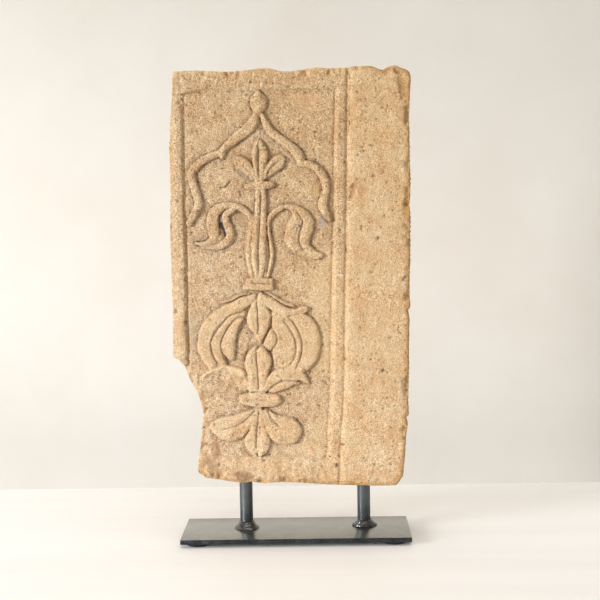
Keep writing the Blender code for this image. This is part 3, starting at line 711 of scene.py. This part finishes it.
def waves(points, size, seed):
    """Soft noise from -1 to 1 at points in millimetres, with features about size across."""
    at = points / size + SEED_SHIFT * seed
    cell = np.floor(at).astype(int)
    t = at - cell
    t = t * t * (3 - 2 * t)
    total = np.zeros(len(points))
    for corner in np.ndindex(2, 2, 2):
        share = np.prod(np.where(corner, t, 1 - t), axis=1)
        i, j, k = ((cell + corner) % LATTICE_SIDE).T
        total += share * LATTICE[i, j, k]
    return total


def layered(points, layers):
    """Sum of soft noises, given as (height, size, seed)."""
    return sum(high * waves(points, size, seed) for high, size, seed in layers)


def from_path(x, z, points):
    """For each place: how far inside the strand's edge, its half width, and the way out."""
    path = smooth_path(points, PATH_STEP)
    start, end = path[:-1], path[1:]
    run = end[:, :2] - start[:, :2]
    length = np.maximum((run ** 2).sum(1), 1e-9)
    from_x = x[:, None] - start[None, :, 0]
    from_z = z[:, None] - start[None, :, 1]
    reach = (from_x * run[:, 0] + from_z * run[:, 1]) / length
    t = np.clip(reach, 0.0, 1.0)
    out_x = from_x - t * run[:, 0]
    out_z = from_z - t * run[:, 1]
    past = np.zeros(reach.shape)
    past[:, 0] = np.maximum(-reach[:, 0], 0) * np.sqrt(length[0])
    past[:, -1] += np.maximum(reach[:, -1] - 1, 0) * np.sqrt(length[-1])
    away = np.sqrt(out_x ** 2 + out_z ** 2 + (END_SQUARE ** 2 - 1) * past ** 2)
    away = np.maximum(away, 1e-6)
    half = 0.5 * (start[:, 2] + t * (end[:, 2] - start[:, 2]))
    best = np.argmax(half - away, axis=1)
    rows = np.arange(len(x))
    away = away[rows, best]
    half = half[rows, best]
    return half - away, half, out_x[rows, best] / away, out_z[rows, best] / away


def round_off(share):
    """Quarter circle: 0 at the edge, 1 from share 1 inwards."""
    t = np.clip(share, 0.0, 1.0)
    return np.sqrt(1.0 - (1.0 - t) ** 2)


def near_path(x, z, points, more):
    """The places that a strand, grown by some millimetres, can reach."""
    reach = max(p[2] for p in points) / 2 + more
    xs = [p[0] for p in points]
    zs = [p[1] for p in points]
    return np.where(
        (x > min(xs) - reach) & (x < max(xs) + reach)
        & (z > min(zs) - reach) & (z < max(zs) + reach)
    )[0]


def body_rise(x, z):
    """Height of the stone left between neighbouring strands, with soft edges."""
    rise = np.zeros(len(x))
    for share, soft, points in BODIES:
        near = near_path(x, z, points, BODY_FELT)
        inside = from_path(x[near], z[near], points)[0]
        rise[near] = np.maximum(rise[near], share * smoothstep(BODY_FOOT, soft, inside))
    return rise


def cut_lines(x, z):
    """Depth of the fine cut lines, and the moves that put the nearest vertices on them."""
    deep, away, move = np.zeros(len(x)), np.full(len(x), FAR), np.zeros((len(x), 2))
    for share, line in CUT_LINES:
        points = [(*point, 0.0) for point in line]
        near = near_path(x, z, points, CUT_FELT)
        inside, _, out_x, out_z = from_path(x[near], z[near], points)
        to_end = np.minimum(*(np.hypot(x[near] - end[0], z[near] - end[1])
                              for end in (line[0], line[-1])))
        taper = CUT_AT_END + (1 - CUT_AT_END) * smoothstep(0, CUT_TAPER, to_end)
        closer = -inside < away[near]
        rows = near[closer]
        away[rows] = -inside[closer]
        move[rows, 0] = (inside * out_x)[closer]
        move[rows, 1] = (inside * out_z)[closer]
        deep[rows] = (share * taper)[closer]
    onto = away < SNAP
    move[~onto] = 0.0
    away[onto] = 0.0
    return CUT_DEPTH * deep * np.exp(-(away / CUT_HALF) ** 2), move, onto


def strand_rise(x, z):
    """Height of the carving over the ground, how far inside a strand, and the way out of it."""
    count = len(x)
    rise, inside, out = np.zeros(count), np.full(count, -FAR), np.zeros((count, 2))
    for strands, share, crown in RELIEF_GROUPS:
        for points in strands:
            near = near_path(x, z, points, STRAND_FELT)
            depth, half, out_x, out_z = from_path(x[near], z[near], points)
            full = np.minimum(RELIEF_HIGH * share, THIN_RISE + RISE_PER_WIDTH * 2 * half)
            wall = round_off(depth / np.clip(WALL_SHARE * half, *WALL_RUN))
            top = round_off(depth / np.maximum(half, LEAST_HALF))
            here = full * ((1 - crown) * wall + crown * top) * (depth > 0)
            rise[near] = np.maximum(rise[near], here)
            closer = depth > inside[near]
            inside[near[closer]] = depth[closer]
            out[near[closer], 0] = out_x[closer]
            out[near[closer], 1] = out_z[closer]
    return rise, inside, out


def along_line(pairs, at):
    """A frame line's place, read between its named points."""
    places = np.array(pairs, float)
    return np.interp(at, places[:, 0], places[:, 1])


def step_down(distance, soft):
    """Share of a step's depth at a distance inside its line."""
    return smoothstep(-0.5, 0.5, distance / soft)


def scored(distance, soft, deepest):
    """Depth of the groove at the foot of a step."""
    return deepest * np.exp(-((distance - 0.5 * soft) / GROOVE_HALF - GROOVE_OUT) ** 2)


def field_depth(x, z):
    """Depth of the border, band and ground, the share that is ground, and its grooves."""
    outer = along_line(OUTER_LINE, z) - x
    inner = along_line(INNER_LINE, z) - x
    left = x - along_line(LEFT_LINE, z)
    top = along_line(TOP_LINE, x) - z
    foot = z - along_line(FOOT_LINE, x)
    outer_soft, inner_soft = along_line(OUTER_SOFT, z), along_line(INNER_SOFT, z)
    top_soft = along_line(TOP_SOFT, x)
    within = np.minimum.reduce([
        step_down(inner, inner_soft), step_down(left, LEFT_SOFT), step_down(top, top_soft),
        step_down(foot, FOOT_SOFT),
    ])
    depth = BAND_DEPTH * step_down(outer, outer_soft) + (GROUND_DEPTH - BAND_DEPTH) * within
    depth += scored(outer, outer_soft, along_line(OUTER_GROOVE, z))
    for beyond, soft in ((outer, outer_soft), (left, LEFT_SOFT)):
        lip = np.exp(np.minimum(beyond, 0) / LIP_REACH)
        depth += LIP_DROP * lip * (1 - step_down(beyond, soft))
    depth += LEFT_ROUND * np.minimum(left, 0) ** 2
    grooves = within * np.maximum.reduce([
        scored(inner, inner_soft, along_line(INNER_GROOVE, z)),
        scored(left, LEFT_SOFT, along_line(LEFT_GROOVE, z)),
        scored(top, top_soft, along_line(TOP_GROOVE, x)),
    ])
    return depth, within, grooves


def line_shift(x, z):
    """Sideways move that puts the vertices next to an upright frame line on it."""
    shift = np.zeros(len(x))
    for line in (OUTER_LINE, INNER_LINE, LEFT_LINE):
        gap = along_line(line, z) - x
        shift = np.where(np.abs(gap) < SNAP, gap, shift)
    return shift


def bumps(x, z, places):
    """Sum of soft round rises, given as (x, z, radius, height)."""
    return sum(
        high * np.exp(-((x - at_x) ** 2 + (z - at_z) ** 2) / radius ** 2)
        for at_x, at_z, radius, high in places
    )


def rough_patches(x, z):
    """How much rougher than elsewhere the worn and flaked parts of the face are."""
    return np.minimum(bumps(x, z, ROUGH_PATCHES), ROUGHEST)


def marks(x, z, places):
    """Depth and colour of the named scrapes and of pits sown over the face: stains, painted shade
    and painted glints.
    """
    rng = np.random.default_rng(PIT_SEED)
    sown = []
    for count, low, high in PITS:
        for _ in range(count):
            at_x, at_z = rng.uniform(low, high), rng.uniform(*PIT_HEIGHTS)
            turn, long = rng.uniform(0, math.pi), rng.uniform(0, PIT_LENGTH_ROOT) ** 2
            radius = rng.uniform(*PIT_RADIUS) * rng.uniform(*PIT_SHRUNK)
            sown.append((
                at_x, at_z, at_x + long * math.cos(turn), at_z + long * math.sin(turn), radius,
                rng.uniform(*PIT_DEPTH), PIT_COLOUR, rng.uniform(*PIT_DARKENING),
            ))
    ragged = layered(places, RAGGED_MARK)
    depth = np.zeros(len(x))
    colour = np.zeros((len(x), 4))
    for x0, z0, x1, z1, radius, deep, tint, share in MARKS + sown:
        near = near_path(x, z, ((x0, z0, 0), (x1, z1, 0)), radius * MARK_REACH + 1)
        run_x, run_z = x1 - x0, z1 - z0
        length = max(run_x ** 2 + run_z ** 2, 1e-9)
        t = np.clip(((x[near] - x0) * run_x + (z[near] - z0) * run_z) / length, 0, 1)
        away = np.hypot(x[near] - x0 - t * run_x, z[near] - z0 - t * run_z) / radius
        bowl = 1 - smoothstep(*BOWL, away + ragged[near])
        depth[near] = np.maximum(depth[near], deep * bowl)
        strength = share * bowl
        over = strength > FAINTEST
        rows = near[over]
        mixed = strength[over, None]
        kept = colour[rows, 3:] * (1 - mixed)
        alpha = kept + mixed
        colour[rows, :3] = (colour[rows, :3] * kept + np.array(linear(tint)[:3]) * mixed) / alpha
        colour[rows, 3:] = alpha
    return depth, colour


def leaned(rows, lean):
    """Turn rows of places or normals about the Y axis."""
    c, s = math.cos(lean), math.sin(lean)
    x, y, z = rows.T
    return np.column_stack([x * c - z * s, y, x * s + z * c])


def to_stone(points):
    """World millimetres to the stone's own X, depth and Z."""
    return leaned(points - STONE_PLACE, STONE_LEAN)


def select_only(item):
    """Make one object the only selected and active one."""
    bpy.ops.object.select_all(action="DESELECT")
    item.select_set(True)
    bpy.context.view_layer.objects.active = item


def vertex_table(mesh, what="co", layer=None):
    """Vertex places or normals as rows of three."""
    flat = np.zeros(len(mesh.vertices) * 3, np.float32)
    (layer or mesh.vertices).foreach_get(what, flat)
    return flat.reshape(-1, 3).astype(float)


def rod_socket(world):
    """True for vertices in or around a rod's blind hole."""
    found = np.zeros(len(world), bool)
    for name in ("rod_left", "rod_right"):
        low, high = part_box(name)
        middle = [(a + b) / 2 / MM for a, b in zip(low, high)]
        away = np.hypot(world[:, 0] - middle[0], world[:, 1] - middle[1])
        found |= (away < ROD_CLEAR) & (world[:, 2] < high[2] / MM + ROD_CLEAR_OVER)
    return found


def rim_distance(places, side):
    """How far each vertex is from the outline, across the face."""
    rim = places[side][::RIM_EVERY]
    tree = kdtree.KDTree(len(rim))
    for i, (x, _, z) in enumerate(rim):
        tree.insert((x, 0.0, z), i)
    tree.balance()
    return np.array([tree.find((x, 0.0, z))[2] for x, _, z in places])


def carve(item):
    """Set the stone's face to the carved depths and roughen its hewn sides and back."""
    mesh = item.data
    world = vertex_table(mesh) / MM
    stone = to_stone(world)
    normals = leaned(vertex_table(mesh, "vector", mesh.vertex_normals), STONE_LEAN)
    socket = rod_socket(world)
    deep = stone[:, 1]
    flank = np.abs(normals[:, 1]) < FLANK_SLOPE
    rim = rim_distance(
        stone, flank & (deep > FLANK_DEPTH[0]) & (deep < FLANK_DEPTH[1]) & ~socket)
    facing = smoothstep(*RIM_BLEND, rim) * (deep < FACE_DEPTH)

    front = np.where(deep < FACE_DEPTH)[0]
    spot = stone[front]
    x = spot[:, 0] + layered(spot, WANDER_X)
    z = spot[:, 2] + layered(spot, WANDER_Z)
    rise, inside, out = strand_rise(x, z)
    cut, move, on_cut = cut_lines(x, z)
    onto = (np.abs(inside) < SNAP) & ~on_cut
    rise[onto] = 0.0
    spot[:, 0] += np.where(onto, out[:, 0] * inside, np.where(on_cut, 0.0, line_shift(x, z)))
    spot[:, 2] += np.where(onto, out[:, 1] * inside, 0.0)
    spot[:, [0, 2]] += move
    field, ground, grooves = field_depth(x + np.where(onto, 0.0, line_shift(x, z)), z)
    reach = np.where(onto, 0.0, inside)
    moat = MOAT_DEPTH * np.exp(np.minimum(reach, 0) / MOAT_REACH)
    moat *= 1 - smoothstep(0.0, WALL_FADE, reach)
    uneven = layered(spot, UNEVEN)
    coarse = layered(spot, COARSE_BED) + np.maximum(layered(spot, OPEN_BED), 0)
    uneven += ground * (rise < ON_STRAND) * coarse
    uneven += rough_patches(x, z) * layered(spot, WEATHERED)
    flaked = np.maximum(layered(spot, FLAKES) - CHIP_LEVEL, 0)
    flaked *= CHIPPED_LEFT + (1 - CHIPPED_LEFT) * smoothstep(*CHIPPED_FROM, x)
    uneven += CHIP_DEPTH * np.exp(-rim[front] / CHIP_REACH) * flaked
    dug, colour = marks(x, z, spot)
    body = body_rise(x, z)
    rise = np.maximum(rise, RELIEF_HIGH * body)
    carved = np.minimum(field, GROUND_DEPTH - rise) + moat * ground * (1 - body)
    carved += grooves * (1 - np.clip(rise, 0, 1))
    dug *= 1 - SPARED_STRAND * (rise > ON_STRAND)
    face = carved + UNEVEN_SHARE * uneven + LAID_BACK + cut + dug

    rough = layered(stone, HEWN)
    hollows = np.maximum(layered(stone, HOLLOWS), 0)
    edge = np.maximum(STONE_THICK - deep, rim)
    worn = np.exp(-edge / BACK_REACH) * (1 + np.maximum(layered(stone, WORN_EDGE), LEAST_WORN))
    rough += smoothstep(*UNSEEN_DEPTH, deep) * (HOLLOW_DEPTH * hollows + BACK_WORN * worn)
    hewn = (1.0 - facing) * ~socket
    grown = OUTLINE_GROWN + bumps(stone[:, 0], stone[:, 2], SWELLS)
    moved = stone - normals * (hewn * rough)[:, None]
    moved[:, [0, 2]] += normals[:, [0, 2]] * (hewn * grown)[:, None]
    share = facing[front]
    moved[front, 0] = spot[:, 0] * share + moved[front, 0] * (1 - share)
    moved[front, 2] = spot[:, 2] * share + moved[front, 2] * (1 - share)
    moved[front, 1] = face * share + np.maximum(moved[front, 1], face) * (1 - share)
    place_in_box(mesh, (leaned(moved, -STONE_LEAN) + STONE_PLACE) * MM)

    sunk = np.zeros(len(stone))
    on_band = (along_line(OUTER_LINE, z) > x) * smoothstep(*DULL_BAND, z)
    sunk[front] = np.maximum(ground * (rise < GROUND_SHARE * RELIEF_HIGH), on_band) * share
    paint(mesh, "ground", sunk)
    # The rim's crust, made stronger to the right and at the foot as painted shade of the edges
    # turned from the light.
    crust = 1 - smoothstep(*CRUST_RIM, rim + layered(stone, CRUST)) * (facing > 0)
    shade_right_or_low = np.maximum(
        smoothstep(*CRUST_AND_SHADE_RIGHT, stone[:, 0]), smoothstep(*CRUST_AND_SHADE_LOW, -stone[:, 2]),
    )
    strong = CRUST_LEAST + (1 - CRUST_LEAST) * shade_right_or_low
    paint(mesh, "rim", crust * np.maximum(strong, smoothstep(*CRUST_DEPTH, deep)))
    # Dirt and painted shade in the cut lines, in the chisel's hollows and on the ground round the
    # strands.
    crease_dirt_and_shade = np.zeros(len(stone))
    dirt_and_shade = DIRT_AND_SHADE_SHARE * np.exp(np.minimum(reach, 0) / DIRT_AND_SHADE_REACH) * (reach < 0)
    crease_dirt_and_shade[front] = CUT_DIRT_AND_SHADE * cut / CUT_DEPTH + (moat / MOAT_DEPTH + dirt_and_shade) * ground * (1 - body)
    paint(mesh, "crease_dirt_and_shade", crease_dirt_and_shade)
    # Colours of the marks: stains, painted shade and painted glints.
    stain_and_painted_light = np.zeros((len(stone), 4), np.float32)
    stain_and_painted_light[front] = colour
    layer = mesh.attributes.new("stain_and_painted_light", "FLOAT_COLOR", "POINT")
    layer.data.foreach_set("color", stain_and_painted_light.ravel())


def place_in_box(mesh, places):
    """Move a mesh's vertices to the given places in metres, held within the solid's box."""
    low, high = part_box("keystone_panel")
    mesh.vertices.foreach_set("co", np.clip(places, low, high).astype(np.float32).ravel())
    mesh.update()


def paint(mesh, name, values):
    """Store one number on every vertex."""
    layer = mesh.attributes.new(name, "FLOAT", "POINT")
    layer.data.foreach_set("value", np.asarray(values, np.float32))


def keystone_panel(finish):
    """The carved stone, as fine mesh over its solid's form."""
    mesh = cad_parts["keystone_panel"].data.copy()
    mesh.materials.clear()
    item = bpy.data.objects.new("carved_stone", mesh)
    bpy.context.scene.collection.objects.link(item)
    select_only(item)
    bpy.ops.object.mode_set(mode="EDIT")
    bpy.ops.mesh.select_all(action="SELECT")
    bpy.ops.mesh.remove_doubles(threshold=MERGED)
    bpy.ops.object.mode_set(mode="OBJECT")
    remesh = item.modifiers.new("fine", "REMESH")
    remesh.mode = "VOXEL"
    remesh.voxel_size = VOXEL * MM
    bpy.ops.object.modifier_apply(modifier=remesh.name)
    carve(item)
    thin_out(item)
    item.data.materials.append(finish)
    select_only(item)
    bpy.ops.object.shade_smooth()
    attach(item, "root")
    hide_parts("keystone_panel")


def thin_out(item):
    """Collapse the plain sides and back, so that the face keeps its detail."""
    mesh = item.data
    stone = to_stone(vertex_table(mesh) / MM)
    group = item.vertex_groups.new(name="plain")
    group.add([int(i) for i in np.where(stone[:, 1] > PLAIN_FROM)[0]], 1.0, "REPLACE")
    triangles = sum(len(p.vertices) - 2 for p in mesh.polygons)
    fewer = item.modifiers.new("fewer", "DECIMATE")
    fewer.ratio = min(1.0, MOST_TRIANGLES / triangles)
    fewer.vertex_group = group.name
    fewer.vertex_group_factor = PLAIN_FIRST
    select_only(item)
    bpy.ops.object.modifier_apply(modifier=fewer.name)
    item.vertex_groups.clear()
    place_in_box(item.data, vertex_table(item.data))


def finished(item, finish, node):
    """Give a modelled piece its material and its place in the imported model."""
    item.name = node + "_piece"
    item.data.materials.clear()
    item.data.materials.append(finish)
    select_only(item)
    bpy.ops.object.transform_apply(location=True, rotation=True, scale=True)
    bpy.ops.object.shade_smooth_by_angle(angle=SHARP)
    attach(item, "root")
    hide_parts(node)


def middle_and_size(node):
    """Centre and size of a solid's box, in metres."""
    low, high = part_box(node)
    return (low + high) / 2, high - low


def bevelled(width, segments):
    """Round the sharp edges of the active object, in edit mode."""
    bpy.ops.object.transform_apply(location=False, rotation=False, scale=True)
    bpy.ops.object.mode_set(mode="EDIT")
    bpy.ops.mesh.select_all(action="DESELECT")
    bpy.ops.mesh.edges_select_sharp(sharpness=SHARP)
    bpy.ops.mesh.bevel(offset=width * MM, segments=segments, affect="EDGES")
    bpy.ops.mesh.select_all(action="DESELECT")
    bpy.ops.object.mode_set(mode="OBJECT")


def base_plate(finish, cut_edge):
    """The flat bar the rods stand on, with its edges left as the shear cut them."""
    middle, size = middle_and_size("base_plate")
    bpy.ops.object.select_all(action="DESELECT")
    bpy.ops.mesh.primitive_cube_add(size=1.0, location=middle)
    item = bpy.context.active_object
    item.scale = size
    bevelled(PLATE_ROUNDING, 3)
    finished(item, finish, "base_plate")
    item.data.materials.append(cut_edge)
    for face in item.data.polygons:
        if abs(face.normal.z) < LEVEL_FACE:
            face.material_index = 1


def round_bar(node, facets, rounding, segments, finish):
    """A rod or a pad: a round bar on its solid's box, with softened edges."""
    middle, size = middle_and_size(node)
    bpy.ops.object.select_all(action="DESELECT")
    bpy.ops.mesh.primitive_cylinder_add(
        vertices=facets, radius=size.x / 2, depth=size.z, location=middle,
    )
    bevelled(rounding, segments)
    finished(bpy.context.active_object, finish, node)


def weld(side, finish, lump, beads):
    """The fillet of weld metal around a rod's foot, laid in overlapping beads."""
    middle, size = middle_and_size(f"weld_{side}")
    low = middle.z - size.z / 2
    rod_radius = middle_and_size(f"rod_{side}")[1].x / 2 + WELD_OFF_ROD * MM
    out = size.x / 2 - rod_radius
    bpy.ops.object.select_all(action="DESELECT")
    bpy.ops.mesh.primitive_plane_add(size=1.0, location=(0.0, 0.0, 0.0))
    item = bpy.context.active_object
    bpy.ops.object.mode_set(mode="EDIT")
    bm = bmesh.from_edit_mesh(item.data)
    bm.clear()
    section = [(0.0, 0.0), (0.0, 1.0), *WELD_SECTION]
    corners = [
        bm.verts.new((rod_radius + share_out * out, 0.0, low + share_up * size.z))
        for share_out, share_up in section
    ]
    bm.faces.new(corners)
    for corner in corners:
        corner.select = True
    bm.select_flush(True)
    bmesh.update_edit_mesh(item.data)
    bpy.ops.mesh.spin(
        steps=WELD_STEPS, angle=2 * math.pi, center=(0.0, 0.0, 0.0), axis=(0.0, 0.0, 1.0),
    )
    bpy.ops.mesh.select_all(action="SELECT")
    bpy.ops.mesh.remove_doubles(threshold=MERGED)
    bpy.ops.mesh.normals_make_consistent(inside=False)
    bpy.ops.object.mode_set(mode="OBJECT")
    places = vertex_table(item.data)
    radius = np.hypot(places[:, 0], places[:, 1])
    turn = np.arctan2(places[:, 1], places[:, 0])
    raised = places[:, 2] > low + WELD_FOOT * MM
    share = np.clip((radius - rod_radius) / out, 0, 1) * raised
    ripple = np.abs(np.sin(beads * turn / 2 + WELD_TWIST * share)) - 1
    ripple += WELD_LUMPY * (layered(places / MM, BEADED) - 1)
    shrink = 1 + lump * MM * ripple * share / np.maximum(radius, rod_radius)
    places[:, :2] *= shrink[:, None]
    places[:, 2] += lump * MM * ripple * share * raised
    places[:, 0] += middle.x
    places[:, 1] += middle.y
    item.data.vertices.foreach_set("co", places.astype(np.float32).ravel())
    item.data.update()
    finished(item, finish, f"weld_{side}")


def camera():
    """The photograph's camera."""
    data = bpy.data.cameras.new("camera")
    data.lens = CAMERA_LENS
    data.sensor_width = CAMERA_SENSOR
    item = bpy.data.objects.new("camera", data)
    bpy.context.scene.collection.objects.link(item)
    item.location = Vector(CAMERA_PLACE) * MM
    turned = (
        Matrix.Rotation(CAMERA_YAW, 3, "Z")
        @ Matrix.Rotation(math.pi / 2 - CAMERA_PITCH, 3, "X")
        @ Matrix.Rotation(CAMERA_ROLL, 3, "Z")
    )
    item.rotation_euler = turned.to_euler()
    bpy.context.scene.camera = item


def area_light(name, place, aim, size, power, colour):
    """A soft square light at place, pointed at aim. Places are in metres."""
    data = bpy.data.lights.new(name, "AREA")
    data.size = size
    data.energy = power
    data.color = linear(colour)[:3]
    item = bpy.data.objects.new(name, data)
    bpy.context.scene.collection.objects.link(item)
    item.location = place
    item.rotation_euler = (Vector(aim) - Vector(place)).to_track_quat("-Z", "Y").to_euler()


def plain(name, place, size, turn, light, dark, patch, rough, upper=1.0):
    """A flat stage piece, clear from behind, with soft clouds and painted shade that may darken it
    upwards.
    """
    bpy.ops.mesh.primitive_plane_add(size=1.0, location=place, rotation=turn)
    item = bpy.context.active_object
    item.name = name
    item.scale = (*size, 1.0)
    bpy.ops.object.transform_apply(location=True, rotation=True, scale=True)
    made, add, shader, spot = new_material(name.replace("_", " "))
    stretched = add("Mapping", {"Vector": spot, "Scale": patch})
    cloud = add("TexNoise", {
        "Vector": stretched["Vector"], "Scale": 1.0, "Detail": 5.0, "Roughness": 0.6,
    })
    colour = add("ValToRGB", {"Fac": cloud["Fac"]}, clouds(SOFT_CLOUDS, dark, light))
    # Painted shade: the colour is darkened upwards.
    fade = add("MapRange", {
        "Value": add("SeparateXYZ", {"Vector": spot})["Z"],
        "From Min": BACKDROP_SHADE_HEIGHTS[0], "From Max": BACKDROP_SHADE_HEIGHTS[1],
        "To Min": 1.0, "To Max": upper,
    })
    shaded = add("VectorMath", {0: colour["Color"], "Scale": fade["Result"]}, operation="SCALE")
    fill(shader, {"Base Color": shaded["Vector"], "Roughness": rough})
    shown = add("MixShader", {
        0: add("NewGeometry")["Backfacing"], 1: shader.outputs["BSDF"],
        2: add("BsdfTransparent")["BSDF"],
    })
    fill(made.node_tree.get_output_node("ALL"), {"Surface": shown["Shader"]})
    item.data.materials.append(made)


def studio():
    """Pale floor and backdrop, a large soft light from the upper left and a weak one above."""
    plain(
        "pale_floor", place=(0.0, -1.4, 0.0), size=(7.0, 3.24), turn=(0, 0, 0),
        light="#f9f8f6", dark="#f3f1ee", patch=(1.2, 14.0, 1.0), rough=0.6,
    )
    # The backdrop's colour darkens upwards: painted shade.
    plain(
        "pale_backdrop", place=(0.0, 0.5, 0.9), size=(7.0, 3.2), turn=(math.pi / 2, 0, 0),
        light="#faf6ee", dark="#f3ede2", patch=(5.0, 5.0, 5.0), rough=0.9, upper=0.66,
    )
    world = bpy.data.worlds.new("studio")
    bpy.context.scene.world = world
    world.use_nodes = True
    fill(world.node_tree.nodes["Background"], {"Color": linear("#fcf7ef"), "Strength": 0.3})
    area_light(
        "window", place=(-2.7, -1.9, 0.8), aim=(0.0, 0.0, 0.2), size=1.1, power=110.0,
        colour="#fbfcff",
    )
    area_light(
        "ceiling", place=(0.2, -0.5, 2.4), aim=(0.0, 0.0, 0.0), size=2.2, power=31.0,
        colour="#fffaf3",
    )
    bpy.context.scene.view_settings.view_transform = "Standard"


camera()
keystone_panel(sandstone())
steel = blackened_steel(
    "black steel", "#5b6064", "#73787c", bump_size=0.8, bump_depth=0.04, roughness=0.42)
plate = blackened_steel(
    "waxed steel plate", "#868782", "#a9a8a2", bump_size=1.6, bump_depth=0.1, roughness=0.24,
    specks=0.14)
cut_edge = blackened_steel(
    "sheared steel edge", "#24262a", "#4f5357", bump_size=0.9, bump_depth=0.6, roughness=0.4,
    specks=0.5)
bead = blackened_steel(
    "weld bead", "#5c5f62", "#7b7e82", bump_size=1.5, bump_depth=0.1, roughness=0.24)
base_plate(plate, cut_edge)
for side in ("left", "right"):
    round_bar(f"rod_{side}", ROD_FACETS, ROD_ROUNDING, 2, steel)
weld("left", bead, lump=0.25, beads=9)
weld("right", bead, lump=1.0, beads=11)
rubber = pad_rubber()
for name in list(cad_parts):
    if name.startswith("foot_pad"):
        round_bar(name, PAD_FACETS, PAD_ROUNDING, 3, rubber)
studio()
